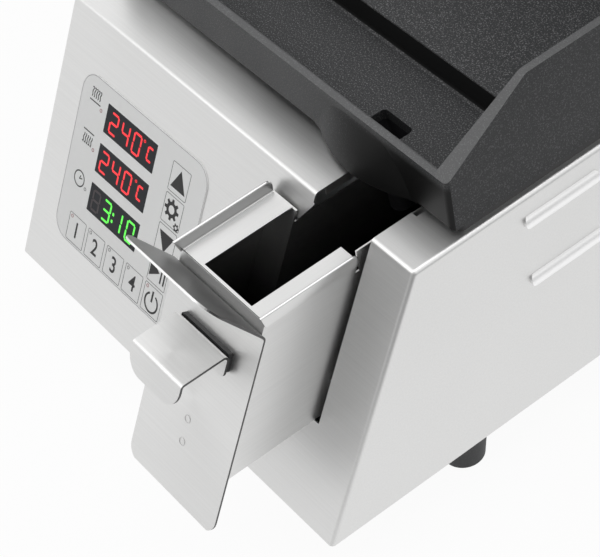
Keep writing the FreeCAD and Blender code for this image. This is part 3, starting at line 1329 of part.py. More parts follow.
def upper_element():
    """Heater clamped on the upper plate's back."""
    z = UPPER_TOP + ELEMENT_R + ELEMENT_CLEARANCE
    margin = UPPER_HEAT_MARGIN
    return opened(serpentine(UPPER_HEAT_HALF, UPPER_FRONT + margin, UPPER_BACK - margin, z))


def upper_clamp():
    """Steel sheet over the upper heater, screwed down by four posts."""
    z0 = UPPER_TOP + HEATER_ROOM
    half, margin = UPPER_HEAT_HALF + CLAMP_OVER_SIDE, UPPER_HEAT_MARGIN - CLAMP_OVER_END
    sheet = box(-half, half, UPPER_FRONT + margin, UPPER_BACK - margin, z0, z0 + CLAMP_THICK)
    posts = [rod(CLAMP_POST_R, (x, y, UPPER_TOP), (x, y, z0 + 0.5))
             for x, y in post_places(UPPER_HEAT_HALF, UPPER_POST_SPREAD)]
    return opened(fused([sheet] + posts))


def upper_insulation():
    """Fibre pads in front of and behind the bridge."""
    z0 = UPPER_TOP + HEATER_ROOM + CLAMP_THICK
    half = UPPER_HEAT_HALF + CLAMP_OVER_SIDE - PAD_STEP
    margin = UPPER_HEAT_MARGIN - CLAMP_OVER_END + PAD_STEP
    clear = BRIDGE_HALF + PAD_STEP
    pads = [box(-half, half, UPPER_FRONT + margin, PIVOT_Y - clear, z0, z0 + PAD_THICK),
            box(-half, half, PIVOT_Y + clear, UPPER_BACK - margin, z0, z0 + PAD_THICK)]
    return Part.makeCompound([opened(p) for p in pads])


def upper_probe():
    """Temperature probe on the upper plate's back."""
    return opened(turned(probe_profile(), (0, PIVOT_Y, UPPER_TOP), (0, 0, 1)))


def both(piece):
    """The pair of a piece that has a left and a right one."""
    return Part.makeCompound([piece(-1), piece(1)])


def all_parts():
    """Every piece by name, in the housing's frame."""
    parts = {
        "housing_shell": housing_shell(), "base_plate": base_plate(), "rear_cover": rear_cover(),
        "cable_gland": cable_gland(), "conduit_socket": conduit_socket(), "foot_screws": foot_screws(),
        "keypad_film": keypad_film(), "control_board": control_board(), "board_posts": board_posts(),
        "terminal_block": terminal_block(), "heat_shield": heat_shield(), "drawer_guide": drawer_guide(),
        "lower_grill_plate": lower_plate(), "plate_screws": plate_screws(), "plate_gasket": plate_gasket(),
        "drain_spout": drain_spout(), "lower_element": lower_element(), "lower_clamp_sheet": lower_clamp(),
        "lower_insulation": lower_insulation(), "lower_pan": lower_pan(),
        "lower_probe": probe(0, PIVOT_Y, COOK_LEVEL - SLAB), "safety_cutout": safety_cutout(),
        "drawer_front": drawer_front(), "drawer_box": drawer_box(), "drawer_rim": drawer_rim(),
        "drawer_handle": drawer_handle(), "handle_spacer": handle_spacer(), "handle_rivets": handle_rivets(),
        "hinge_tower": hinge_tower(), "bracket_screws": bracket_screws(), "hinge_shaft": hinge_shaft(),
        "shaft_nuts": shaft_nuts(), "handle_bar": handle_bar(), "handle_caps": handle_caps(),
        "handle_grip": handle_grip(),
        "upper_grill_plate": upper_plate(), "upper_hood": upper_hood(), "hood_socket": hood_socket(),
        "pivot_frame": pivot_frame(), "upper_element": upper_element(), "upper_clamp_sheet": upper_clamp(),
        "upper_insulation": upper_insulation(), "upper_probe": upper_probe(),
    }
    for name, (x, y) in foot_places().items():
        parts[name] = foot(x, y)
    windows = window_corners()
    parts["display_windows"] = Part.makeCompound([display_window(points) for points in windows])
    parts["display_modules"] = Part.makeCompound([display_module(points) for points in windows])
    parts["power_relays"] = Part.makeCompound([power_relay(i) for i in range(2)])
    parts["hinge_bushes"] = both(hinge_bush)
    parts["spring_collars"] = both(spring_collar)
    parts["lid_stops"] = both(lid_stop)
    parts["pivot_bolts"] = both(pivot_bolt)
    for side, word in ((-1, "left"), (1, "right")):
        parts[f"hinge_bracket_{word}"] = hinge_bracket(side)
        parts[f"torsion_spring_{word}"] = torsion_spring(side)
        parts[f"lid_arm_{word}"] = lid_arm(side)
    return parts


def main():
    os.makedirs("parts", exist_ok=True)
    parts = all_parts()
    whole = Part.makeCompound(list(parts.values())).optimalBoundingBox()
    middle = Vector(-(whole.XMin + whole.XMax) / 2, -(whole.YMin + whole.YMax) / 2, -whole.ZMin)
    for name, shape in parts.items():
        shape.translate(middle)
        shape.exportStep(f"parts/{name}.step")
    print(len(parts), "nodes, moved by", tuple(round(v, 3) for v in middle))
    hinge = Vector(0, HINGE_Y, HINGE_LEVEL)
    pivot = Vector(0, PIVOT_Y, PIVOT_LEVEL)
    pivot = hinge + Rotation(Vector(1, 0, 0), -LID_OPEN).multVec(pivot - hinge)
    for label, point in (("lid hinge", hinge + middle), ("tilt pivot", pivot + middle)):
        print(label, tuple(round(v, 3) for v in point))
    print("size", round(whole.XLength, 2), round(whole.YLength, 2), round(whole.ZLength, 2))


main()
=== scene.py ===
"""Finishes for a contact grill: brushed sheet, speckled casting, printed keypad, displays and a studio."""
import math

import bmesh
import bpy
from bpy.props import FloatProperty, FloatVectorProperty, PointerProperty
from mathutils import Matrix, Vector


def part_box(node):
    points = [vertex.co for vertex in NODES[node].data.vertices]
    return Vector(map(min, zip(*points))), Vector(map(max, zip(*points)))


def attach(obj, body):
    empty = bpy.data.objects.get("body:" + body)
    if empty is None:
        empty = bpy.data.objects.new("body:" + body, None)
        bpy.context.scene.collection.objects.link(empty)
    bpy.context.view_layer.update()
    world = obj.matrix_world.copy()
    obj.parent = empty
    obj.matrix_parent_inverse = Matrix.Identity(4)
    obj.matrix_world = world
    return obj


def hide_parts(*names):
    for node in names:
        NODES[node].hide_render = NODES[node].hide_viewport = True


bl_info = {
    "name": "Contact Grill",
    "version": (1, 0, 0),
    "blender": (4, 5, 0),
    "location": "View3D > Sidebar > Grill",
    "description": "Finishes for a contact grill with a keypad, a grease drawer and a sprung lid",
    "category": "Object",
}

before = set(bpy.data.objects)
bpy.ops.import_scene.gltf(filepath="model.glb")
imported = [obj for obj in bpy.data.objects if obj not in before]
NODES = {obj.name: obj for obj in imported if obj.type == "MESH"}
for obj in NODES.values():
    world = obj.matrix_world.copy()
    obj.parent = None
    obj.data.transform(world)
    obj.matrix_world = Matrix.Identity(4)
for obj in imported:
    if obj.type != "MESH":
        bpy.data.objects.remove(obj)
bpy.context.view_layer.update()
MM = 0.001
SHELL_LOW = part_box("housing_shell")[0]
BASE_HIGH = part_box("base_plate")[1]
CORNER = Vector((BASE_HIGH.x + MM, SHELL_LOW.y, SHELL_LOW.z))
RIGHT, LEFT, UP = (1.0, 0.0, 0.0), (-1.0, 0.0, 0.0), (0.0, 0.0, 1.0)
FORWARD, BACKWARD = (0.0, -1.0, 0.0), (0.0, 1.0, 0.0)
# Level direction in which the surroundings and the mirrored floor darken.
DARK_WAY = (0.8, -0.6, 0.0)
# Brushed lines per metre along their own length.
LONG_LINES = 12.0
# How far the lines change colour and roughness, and how far the clouds change roughness.
LINE_CONTRAST, LINE_ROUGHNESS, CLOUD_ROUGHNESS = 0.6, 0.22, 0.10
# Noise values between which a speck shows, and how far the patches change roughness.
SPECK_CUT, PATCH_ROUGHNESS = (0.54, 0.66), 0.16
FOLD_ANGLE = math.radians(40.0)
# Thickening and narrowing of the numbers, as shares of their size.
LETTER_WEIGHT, LETTER_WIDTH = 0.012, 0.86
# Corners of a gear's tooth: share of the pitch from its middle, and share of the radius.
TOOTH = ((-0.30, 0.72), (-0.17, 1.0), (0.17, 1.0), (0.30, 0.72))
NUMBER, VECTOR, COLOUR, MATERIAL = (
    "NodeSocketFloat", "NodeSocketVector", "NodeSocketColor", "NodeSocketMaterial")


def length_setting(name, description, millimetres):
    """A length, given here in millimetres."""
    return FloatProperty(name=name, description=description, default=millimetres * MM, unit="LENGTH")


def colour_setting(name, description, colour):
    """A colour in linear light."""
    return FloatVectorProperty(name=name, description=description, default=colour, subtype="COLOR")


def share_setting(name, description, share):
    """A share from 0 to 1."""
    return FloatProperty(name=name, description=description, default=share, min=0.0, max=1.0)


def power_setting(name, description, watts):
    """A lamp's power."""
    return FloatProperty(name=name, description=description, default=watts, unit="POWER")


class StageSettings(bpy.types.PropertyGroup):
    """Camera, lamps, floor and surroundings."""
    camera_offset: FloatVectorProperty(
        name="Camera offset", description="Camera's place from the housing's lower front right corner",
        default=(0.6609, -0.3431, 0.9862), subtype="TRANSLATION", unit="LENGTH")
    camera_view: FloatVectorProperty(
        name="View direction", description="Way that the camera looks",
        default=(-0.60734, 0.32978, -0.72276), subtype="DIRECTION")
    camera_up: FloatVectorProperty(
        name="Up direction", description="Camera's own upward direction",
        default=(-0.51921, 0.52382, 0.67530), subtype="DIRECTION")
    lens: FloatProperty(name="Lens", description="Focal length in millimetres", default=138.74)
    floor_size: length_setting("Floor size", "Width of the floor", 9000.0)
    floor_colour: colour_setting("Floor colour", "Colour of the floor that the camera sees", (1.0, 1.0, 1.0))
    shade: share_setting("Sky shade", "Brightness of the darkest part of the surroundings", 0.5)
    fill: share_setting("Fill", "Light that the surroundings give to matt surfaces", 0.5)
    dark_start: length_setting("Dark start", "Where the mirrored floor begins to darken", 350.0)
    dark_end: length_setting("Dark end", "Where the mirrored floor is darkest", 950.0)
    dark_level: share_setting("Dark level", "Brightness of the dark part of the mirrored floor", 0.12)
    front_power: power_setting("Front lamp", "Power of the lamp above the front", 9.5)
    top_power: power_setting("Top lamp", "Power of the lamp overhead", 9.0)
    side_power: power_setting("Side lamp", "Power of the lamp on the right", 2.5)


class SteelSettings(bpy.types.PropertyGroup):
    """Brushed and plain steel."""
    colour: colour_setting("Steel", "Colour of the brushed sheet", (0.76, 0.76, 0.755))
    roughness: share_setting("Roughness", "Blur of the reflections", 0.42)
    grain: share_setting("Grain", "Strength of the brushed lines", 0.24)
    smooth: share_setting("Smooth roughness", "Blur on the drawer's rim", 0.3)
    # Painted highlight: pale colour on the louvres' crests.
    louvre: colour_setting("Louvre highlight", "Colour of the louvres' crests", (0.98, 0.98, 0.98))
    # Painted shade: dark grey on the back of the drawer's front sheet.
    shield: colour_setting("Shield shade", "Colour of the shield's back", (0.3, 0.3, 0.3))
    # Painted shade: darker steel for the left lip's inner face.
    lip: colour_setting("Lip shade", "Colour of the left lip's inner face", (0.36, 0.36, 0.36))
    edge: colour_setting("Cut edge", "Colour of the sheets' cut edges", (0.12, 0.12, 0.12))
    # Painted shade: near black deep inside the drawer, fading in with depth.
    painted_shade: colour_setting("Well", "Colour deep inside the drawer", (0.01, 0.01, 0.01))
    well_depth: length_setting("Well depth", "Depth at which the drawer is darkest", 85.0)
    fineness: FloatProperty(name="Fineness", description="Brushed lines per metre", default=900.0)


class EnamelSettings(bpy.types.PropertyGroup):
    """Speckled enamel of the castings."""
    colour: colour_setting("Enamel", "Ground colour", (0.046, 0.047, 0.049))
    speck: colour_setting("Specks", "Colour of the specks", (0.25, 0.25, 0.255))
    speck_scale: FloatProperty(name="Speck scale", description="Specks per metre", default=1250.0)
    speck_amount: share_setting("Speck amount", "Share of the specks' colour", 0.8)
    roughness: share_setting("Roughness", "Blur of the reflections", 0.5)
    gloss: share_setting("Gloss", "Strength of the reflections", 0.22)
    # Painted shade: the castings' upright faces darker than their tops.
    upright: colour_setting("Upright shade", "Colour of the upright faces", (0.040, 0.041, 0.043))
    # Painted shade: near black on the step to the cooking face and on the front wall's face.
    painted_shade: colour_setting("Painted shade", "Colour of the step to the cooking face", (0.003, 0.003, 0.003))
    # Lighter colour on the level tops of the walls near the rim.
    rim: colour_setting("Rim", "Colour of the worn tops of the walls", (0.21, 0.212, 0.214))
    rim_level: length_setting("Rim level", "Height of the front wall's top", 219.5)
    shade_start: length_setting("Shade start", "Where the front wall begins to darken", 30.0)
    shade_end: length_setting("Shade end", "Where the front wall is darkest", 88.0)
    shade_width: length_setting("Shade depth", "Depth of the bulge and the wall's face", 12.0)
    side_wall: length_setting("Side wall", "From the plate's side to inside its wall", 4.0)
    riser_start: length_setting("Step start", "From the plate's front to before the step", 65.5)
    riser_end: length_setting("Step end", "From the plate's front to past the step", 74.0)
    riser_low: length_setting("Step foot", "From the plate's foot to the gutter", 15.0)
    riser_top: length_setting("Step top", "From the plate's foot to the cooking face", 32.0)


class RimSettings(bpy.types.PropertyGroup):
    """Folded sheet round the drawer's mouth, and the funnel above it."""
    sheet: length_setting("Sheet", "Thickness of the rim's sheet", 0.8)
    wall: length_setting("Wall", "From the rim's outer face to the middle of the drawer's wall", 1.0)
    left_ledge: length_setting("Left ledge", "Width of the left ledge", 18.0)
    right_ledge: length_setting("Right ledge", "Width of the right ledge", 13.6)
    front_ledge: length_setting("Front ledge", "Width of the front ledge", 1.4)
    level: length_setting("Level", "From the hem's foot to the ledges", 2.0)
    left_lip: length_setting("Left lip", "Height of the left lip", 8.5)
    right_lip: length_setting("Right lip", "Height of the right lip", 5.6)
    bend: length_setting("Bend", "Radius of the folds", 1.3)
    back_corner: length_setting("Back corner", "Rounding of the lips' ends", 3.0)
    lean: FloatProperty(name="Lean", description="Slant of the lips' front ends", default=0.55)
    slot_width: length_setting("Slot width", "Width of the drain's slot", 24.0)
    slot_depth: length_setting("Slot depth", "Depth of the drain's slot", 15.4)
    slot_ahead: length_setting("Slot ahead", "The slot's middle before the spout", 1.0)
    bore: length_setting("Bore", "Inner radius of the spout", 5.0)
    throat: length_setting("Throat", "Depth of the funnel", 20.0)
    funnel: length_setting("Funnel", "Thickness of the funnel's wall", 1.6)


class KeypadSettings(bpy.types.PropertyGroup):
    """Printed membrane and displays, measured on the sloping panel."""
    slope: FloatProperty(
        name="Slope", description="Lean of the panel from upright", default=math.radians(27.2),
        unit="ROTATION")
    ink: colour_setting("Ink", "Colour of the print", (0.004, 0.004, 0.0045))
    key_width: length_setting("Key width", "Width of one key's outline", 17.0)
    key_height: length_setting("Key height", "Height of one key's outline", 18.0)
    key_pitch: length_setting("Key pitch", "Distance between keys", 19.8)
    line: length_setting("Line", "Width of the printed outlines", 0.35)
    red: colour_setting("Red light", "Colour of the temperature digits", (1.0, 0.02, 0.03))
    green: colour_setting("Green light", "Colour of the time digits", (0.12, 1.0, 0.08))
    glow: FloatProperty(name="Glow", description="Brightness of the digits", default=1.0)
    sign_unit: length_setting("Sign unit", "Length that the keys' signs are drawn in", 1.27)
    film: length_setting("Film", "Thickness of the membrane", 0.5)
    window_left: length_setting("Window left", "Left edge of the displays", -103.3)
    window_top: length_setting("Window top", "Upper edge of the first display", 130.0)
    digit_width: length_setting("Digit width", "Width of a digit between its bars", 6.8)
    digit_height: length_setting("Digit height", "Height of a digit between its bars", 12.6)
    digit_drop: length_setting("Digit drop", "From a display's upper edge to its digits", 3.3)
    digit_slant: FloatProperty(
        name="Digit slant", description="Sideways lean of the digits for each unit of height", default=0.05)
    segment: length_setting("Segment", "Width of a digit's bars", 1.45)
    window_pitch: length_setting("Window pitch", "Distance between displays", 26.0)
    drawer_out: length_setting("Drawer out", "Front sheet's distance before the panel", 62.8)


def link(obj):
    """Puts an object in the scene."""
    bpy.context.scene.collection.objects.link(obj)
    return obj


def mesh_object(name, verts, faces, material):
    """Object of plain polygons."""
    mesh = bpy.data.meshes.new(name)
    mesh.from_pydata([tuple(v) for v in verts], [], faces)
    mesh.update()
    mesh.materials.append(material)
    return link(bpy.data.objects.new(name, mesh))


def new_material(name, colour, roughness=0.5, metallic=0.0):
    """Material with its shader, and the tools to add nodes to it."""
    material = bpy.data.materials.new(name)
    material.use_nodes = True
    tree = material.node_tree
    shader = tree.nodes["Principled BSDF"]
    shader.inputs["Base Color"].default_value = (*colour, 1.0)
    shader.inputs["Roughness"].default_value = roughness
    shader.inputs["Metallic"].default_value = metallic
    return material, tree, shader


def add_node(tree, kind, at=None, **values):
    """Node with some of its inputs set, by name or, in at, by number."""
    node = tree.nodes.new(kind)
    for name, value in values.items():
        if hasattr(node, name):
            setattr(node, name, value)
        else:
            node.inputs[name.replace("_", " ")].default_value = value
    for number, value in (at or {}).items():
        node.inputs[number].default_value = value
    return node


def wire(tree, *wires):
    """Joins nodes; each wire is a node, its output, another node and its input."""
    for source, out, target, into in wires:
        tree.links.new(source.outputs[out], target.inputs[into])


def group_shell(name, inputs, outputs, kind="ShaderNodeTree"):
    """Empty node group with its sockets, its group input and its group output."""
    tree = bpy.data.node_groups.new(name, kind)
    for label, socket_type, value in inputs:
        socket = tree.interface.new_socket(name=label, in_out="INPUT", socket_type=socket_type)
        if value is not None:
            socket.default_value = value
    for label, socket_type in outputs:
        tree.interface.new_socket(name=label, in_out="OUTPUT", socket_type=socket_type)
    return tree, tree.nodes.new("NodeGroupInput"), tree.nodes.new("NodeGroupOutput")


def place_group(tree, group, **values):
    """A shader group in a material, with its own values."""
    node = tree.nodes.new("ShaderNodeGroup")
    node.node_tree = group
    for name, value in values.items():
        node.inputs[name.replace("_", " ")].default_value = value
    return node


def brushed_group():
    """Fine parallel lines along one axis, with slow cloudy changes."""
    if "Brushed lines" in bpy.data.node_groups:
        return bpy.data.node_groups["Brushed lines"]
    tree, start, end = group_shell(
        "Brushed lines",
        [("Vector", VECTOR, None), ("Stretch", VECTOR, (1.0, 1.0, 1.0)),
         ("Colour", COLOUR, (0.6, 0.6, 0.6, 1.0)), ("Strength", NUMBER, 0.3),
         ("Roughness", NUMBER, 0.35)],
        [("Colour", COLOUR), ("Roughness", NUMBER), ("Height", NUMBER)])
    stretch = add_node(tree, "ShaderNodeVectorMath", operation="MULTIPLY")
    lines = add_node(tree, "ShaderNodeTexNoise", Scale=1.0, Detail=4.0, Roughness=0.65)
    cloud = add_node(tree, "ShaderNodeTexNoise", Scale=14.0, Detail=3.0, Roughness=0.5)
    swing = add_node(tree, "ShaderNodeMapRange", To_Min=-0.5, To_Max=0.5)
    tone = add_node(tree, "ShaderNodeMath", operation="MULTIPLY")
    lift = add_node(tree, "ShaderNodeMath", operation="MULTIPLY_ADD", at={1: LINE_CONTRAST, 2: 1.0})
    scale = add_node(tree, "ShaderNodeVectorMath", operation="SCALE")
    rough_swing = add_node(tree, "ShaderNodeMath", operation="MULTIPLY_ADD", at={1: LINE_ROUGHNESS})
    cloud_swing = add_node(tree, "ShaderNodeMath", operation="MULTIPLY_ADD", at={1: CLOUD_ROUGHNESS})
    wire(tree, (start, "Vector", stretch, 0), (start, "Stretch", stretch, 1), (stretch, 0, lines, "Vector"),
         (start, "Vector", cloud, "Vector"), (lines, "Fac", swing, "Value"), (swing, 0, tone, 0),
         (start, "Strength", tone, 1), (tone, 0, lift, 0), (start, "Colour", scale, 0),
         (lift, 0, scale, "Scale"), (tone, 0, rough_swing, 0), (start, "Roughness", rough_swing, 2),
         (cloud, "Fac", cloud_swing, 0), (rough_swing, 0, cloud_swing, 2), (scale, 0, end, "Colour"),
         (cloud_swing, 0, end, "Roughness"), (lines, "Fac", end, "Height"))
    return tree


def grain_group():
    """Specks and a pebbled height for cast, moulded and printed surfaces."""
    if "Fine grain" in bpy.data.node_groups:
        return bpy.data.node_groups["Fine grain"]
    tree, start, end = group_shell(
        "Fine grain",
        [("Vector", VECTOR, None), ("Scale", NUMBER, 1500.0),
         ("Colour", COLOUR, (0.03, 0.03, 0.03, 1.0)), ("Speck", COLOUR, (0.1, 0.1, 0.1, 1.0)),
         ("Amount", NUMBER, 0.3), ("Roughness", NUMBER, 0.5)],
        [("Colour", COLOUR), ("Roughness", NUMBER), ("Height", NUMBER)])
    pebble = add_node(tree, "ShaderNodeTexNoise", Detail=2.0, Roughness=0.6)
    patch = add_node(tree, "ShaderNodeTexNoise", Scale=22.0, Detail=3.0, Roughness=0.55)
    cut = add_node(tree, "ShaderNodeMapRange", From_Min=SPECK_CUT[0], From_Max=SPECK_CUT[1])
    amount = add_node(tree, "ShaderNodeMath", operation="MULTIPLY")
    mix = add_node(tree, "ShaderNodeMix", data_type="RGBA")
    rough = add_node(tree, "ShaderNodeMath", operation="MULTIPLY_ADD", at={1: PATCH_ROUGHNESS})
    wire(tree, (start, "Vector", pebble, "Vector"), (start, "Scale", pebble, "Scale"),
         (start, "Vector", patch, "Vector"), (pebble, "Fac", cut, "Value"), (cut, 0, amount, 0),
         (start, "Amount", amount, 1), (amount, 0, mix, "Factor"), (start, "Colour", mix, "A"),
         (start, "Speck", mix, "B"), (patch, "Fac", rough, 0), (start, "Roughness", rough, 2),
         (mix, "Result", end, "Colour"), (rough, 0, end, "Roughness"), (pebble, "Fac", end, "Height"))
    return tree


def facing_group():
    """Mask of the faces that look along one axis: 1 where the normal leans that way."""
    if "Facing" in bpy.data.node_groups:
        return bpy.data.node_groups["Facing"]
    tree, start, end = group_shell(
        "Facing",
        [("Normal", VECTOR, None), ("Axis", VECTOR, (0.0, 0.0, 1.0)),
         ("From", NUMBER, 0.7), ("To", NUMBER, 0.9), ("Both ways", NUMBER, 1.0)],
        [("Mask", NUMBER)])
    share = add_node(tree, "ShaderNodeVectorMath", operation="DOT_PRODUCT")
    plain = add_node(tree, "ShaderNodeMath", operation="ABSOLUTE")
    pick = add_node(tree, "ShaderNodeMix", data_type="FLOAT")
    cut = add_node(tree, "ShaderNodeMapRange", interpolation_type="SMOOTHSTEP")
    wire(tree, (start, "Normal", share, 0), (start, "Axis", share, 1), (share, "Value", plain, 0),
         (start, "Both ways", pick, "Factor"), (share, "Value", pick, "A"), (plain, 0, pick, "B"),
         (pick, "Result", cut, "Value"), (start, "From", cut, "From Min"), (start, "To", cut, "From Max"),
         (cut, 0, end, "Mask"))
    return tree


def inside_group():
    """Mask of what lies inside a box, softened at its top by a depth."""
    if "Inside" in bpy.data.node_groups:
        return bpy.data.node_groups["Inside"]
    tree, start, end = group_shell(
        "Inside",
        [("Vector", VECTOR, None), ("Low", VECTOR, (0.0, 0.0, 0.0)),
         ("High", VECTOR, (1.0, 1.0, 1.0)), ("Depth", NUMBER, 0.02)],
        [("Mask", NUMBER)])
    over, under = (add_node(tree, "ShaderNodeVectorMath", operation="SUBTRACT") for _ in range(2))
    wire(tree, (start, "Vector", over, 0), (start, "Low", over, 1), (start, "High", under, 0),
         (start, "Vector", under, 1))
    least = add_node(tree, "ShaderNodeVectorMath", operation="MINIMUM")
    wire(tree, (over, 0, least, 0), (under, 0, least, 1))
    split = tree.nodes.new("ShaderNodeSeparateXYZ")
    wire(tree, (least, 0, split, 0))
    first, second = (add_node(tree, "ShaderNodeMath", operation="MINIMUM") for _ in range(2))
    wire(tree, (split, "X", first, 0), (split, "Y", first, 1), (first, 0, second, 0),
         (split, "Z", second, 1))
    within = add_node(tree, "ShaderNodeMath", operation="GREATER_THAN", at={1: 0.0})
    wire(tree, (second, 0, within, 0))
    below = tree.nodes.new("ShaderNodeSeparateXYZ")
    wire(tree, (under, 0, below, 0))
    fade = add_node(tree, "ShaderNodeMapRange", interpolation_type="SMOOTHSTEP")
    wire(tree, (below, "Z", fade, "Value"), (start, "Depth", fade, "From Max"))
    both = add_node(tree, "ShaderNodeMath", operation="MULTIPLY")
    wire(tree, (within, 0, both, 0), (fade, 0, both, 1), (both, 0, end, "Mask"))
    return tree


def darken(material, mask, colour, roughness=None, share=1.0):
    """Mixes another colour, and roughness, over a material where a mask says so."""
    tree, shader = shader_of(material)
    if share < 1.0:
        part = add_node(tree, "ShaderNodeMath", operation="MULTIPLY", at={1: share})
        tree.links.new(mask, part.inputs[0])
        mask = part.outputs[0]
    changes = [("RGBA", "Base Color", (*colour, 1.0))]
    if roughness is not None:
        changes.append(("FLOAT", "Roughness", roughness))
    for kind, label, value in changes:
        mix = add_node(tree, "ShaderNodeMix", data_type=kind, B=value)
        tree.links.new(shader.inputs[label].links[0].from_socket, mix.inputs["A"])
        tree.links.new(mask, mix.inputs["Factor"])
        tree.links.new(mix.outputs["Result"], shader.inputs[label])


def facing(material, axis, low, high, both_ways=1.0):
    """Mask socket in a material for the faces that look along an axis."""
    tree = material.node_tree
    geometry = tree.nodes.new("ShaderNodeNewGeometry")
    mask = place_group(tree, facing_group(), Axis=axis, From=low, To=high, Both_ways=both_ways)
    wire(tree, (geometry, "True Normal", mask, "Normal"))
    return mask.outputs["Mask"]


def inside(material, low, high, depth):
    """Mask socket in a material for what lies inside a box."""
    tree = material.node_tree
    place = tree.nodes.new("ShaderNodeTexCoord")
    mask = place_group(tree, inside_group(), Low=low, High=high, Depth=depth)
    wire(tree, (place, "Object", mask, "Vector"))
    return mask.outputs["Mask"]


def rising(material, axis, start, end):
    """Mask socket in a material that rises with the distance along an axis."""
    tree = material.node_tree
    place = tree.nodes.new("ShaderNodeTexCoord")
    mask = place_group(tree, facing_group(), Axis=axis, From=start, To=end, Both_ways=0.0)
    wire(tree, (place, "Object", mask, "Normal"))
    return mask.outputs["Mask"]


def product(material, first, second):
    """Two masks of a material multiplied with each other."""
    tree = material.node_tree
    both = add_node(tree, "ShaderNodeMath", operation="MULTIPLY")
    tree.links.new(first, both.inputs[0])
    tree.links.new(second, both.inputs[1])
    return both.outputs[0]


def shader_of(material):
    """A material's node tree and its shader."""
    return material.node_tree, material.node_tree.nodes["Principled BSDF"]


def finish_with(tree, shader, effect, height, depth):
    """Feeds a group's colour, roughness and height to the shader."""
    place = tree.nodes.new("ShaderNodeTexCoord")
    bump = add_node(tree, "ShaderNodeBump", Strength=height, Distance=depth)
    wire(tree, (place, "Object", effect, "Vector"), (effect, "Colour", shader, "Base Color"),
         (effect, "Roughness", shader, "Roughness"), (effect, "Height", bump, "Height"),
         (bump, "Normal", shader, "Normal"))


def brushed(name, colour, roughness, grain, stretch, height=0.12, depth=0.04 * MM):
    """Metal with brushed lines; stretch is the lines' fineness along X, Y and Z."""
    material, tree, shader = new_material(name, colour, roughness, 1.0)
    shader.inputs["Anisotropic"].default_value = 0.35
    effect = place_group(tree, brushed_group(), Stretch=stretch, Colour=(*colour, 1.0), Strength=grain,
                         Roughness=roughness - CLOUD_ROUGHNESS / 2)
    finish_with(tree, shader, effect, height, depth)
    return material


def grained(name, colour, speck, amount, roughness, scale=1500.0, height=0.3, depth=0.1 * MM, metallic=0.0):
    """Cast, moulded or fibrous surface with fine specks."""
    material, tree, shader = new_material(name, colour, roughness, metallic)
    effect = place_group(tree, grain_group(), Scale=scale, Colour=(*colour, 1.0), Speck=(*speck, 1.0),
                         Amount=amount, Roughness=roughness - PATCH_ROUGHNESS / 2)
    finish_with(tree, shader, effect, height, depth)
    return material


def dress(material, *names):
    """Gives CAD nodes their material."""
    for name in names:
        mesh = NODES[name].data
        mesh.materials.clear()
        mesh.materials.append(material)


def geometry_tree(name, inputs):
    """Empty geometry tree with named inputs."""
    kind = "NodeSocketGeometry"
    return group_shell(name, [("Geometry", kind, None), *inputs], [("Geometry", kind)], "GeometryNodeTree")


def scatter(tree, start, end, shape, turned=False, scaled=False):
    """Last part of a tree: the shape on every point, realized and given the material."""
    spread = tree.nodes.new("GeometryNodeInstanceOnPoints")
    whole = tree.nodes.new("GeometryNodeRealizeInstances")
    paint = tree.nodes.new("GeometryNodeSetMaterial")
    for wanted, label, kind in ((turned, "turn", "Rotation"), (scaled, "size", "Scale")):
        if wanted:
            value = tree.nodes.new("GeometryNodeInputNamedAttribute")
            value.data_type = "FLOAT_VECTOR"
            value.inputs["Name"].default_value = label
            wire(tree, (value, "Attribute", spread, kind))
    wire(tree, (start, "Geometry", spread, "Points"))
    tree.links.new(shape, spread.inputs["Instance"])
    wire(tree, (spread, 0, whole, 0), (whole, 0, paint, "Geometry"), (start, "Material", paint, "Material"),
         (paint, 0, end, "Geometry"))


def outline_tree():
    """Rounded rectangular outlines, one on each point."""
    if "Outlines" in bpy.data.node_groups:
        return bpy.data.node_groups["Outlines"]
    tree, start, end = geometry_tree("Outlines", [
        ("Width", NUMBER, 0.017), ("Height", NUMBER, 0.018), ("Corner", NUMBER, 0.001),
        ("Line", NUMBER, 0.0003), ("Material", MATERIAL, None)])
    outline = tree.nodes.new("GeometryNodeCurvePrimitiveQuadrilateral")
    fillet = add_node(tree, "GeometryNodeFilletCurve", mode="POLY", Count=8)
    profile = tree.nodes.new("GeometryNodeCurvePrimitiveQuadrilateral")
    thin = add_node(tree, "ShaderNodeMath", operation="MULTIPLY", at={1: 0.1})
    sweep = tree.nodes.new("GeometryNodeCurveToMesh")
    wire(tree, (start, "Width", outline, "Width"), (start, "Height", outline, "Height"),
         (outline, 0, fillet, "Curve"), (start, "Corner", fillet, "Radius"), (fillet, 0, sweep, "Curve"),
         (start, "Line", profile, "Width"), (start, "Line", thin, 0), (thin, 0, profile, "Height"),
         (profile, 0, sweep, "Profile Curve"))
    scatter(tree, start, end, sweep.outputs[0])
    return tree


def ring_tree():
    """Round outlines, one on each point, sized and turned by the points' own values."""
    if "Rings" in bpy.data.node_groups:
        return bpy.data.node_groups["Rings"]
    tree, start, end = geometry_tree("Rings", [
        ("Radius", NUMBER, 0.001), ("Line", NUMBER, 0.0003), ("Material", MATERIAL, None)])
    circle = add_node(tree, "GeometryNodeCurvePrimitiveCircle", Resolution=28)
    profile = add_node(tree, "GeometryNodeCurvePrimitiveCircle", Resolution=6)
    half = add_node(tree, "ShaderNodeMath", operation="MULTIPLY", at={1: 0.5})
    sweep = tree.nodes.new("GeometryNodeCurveToMesh")
    wire(tree, (start, "Radius", circle, "Radius"), (start, "Line", half, 0), (half, 0, profile, "Radius"),
         (circle, 0, sweep, "Curve"), (profile, 0, sweep, "Profile Curve"))
    scatter(tree, start, end, sweep.outputs[0], turned=True, scaled=True)
    return tree


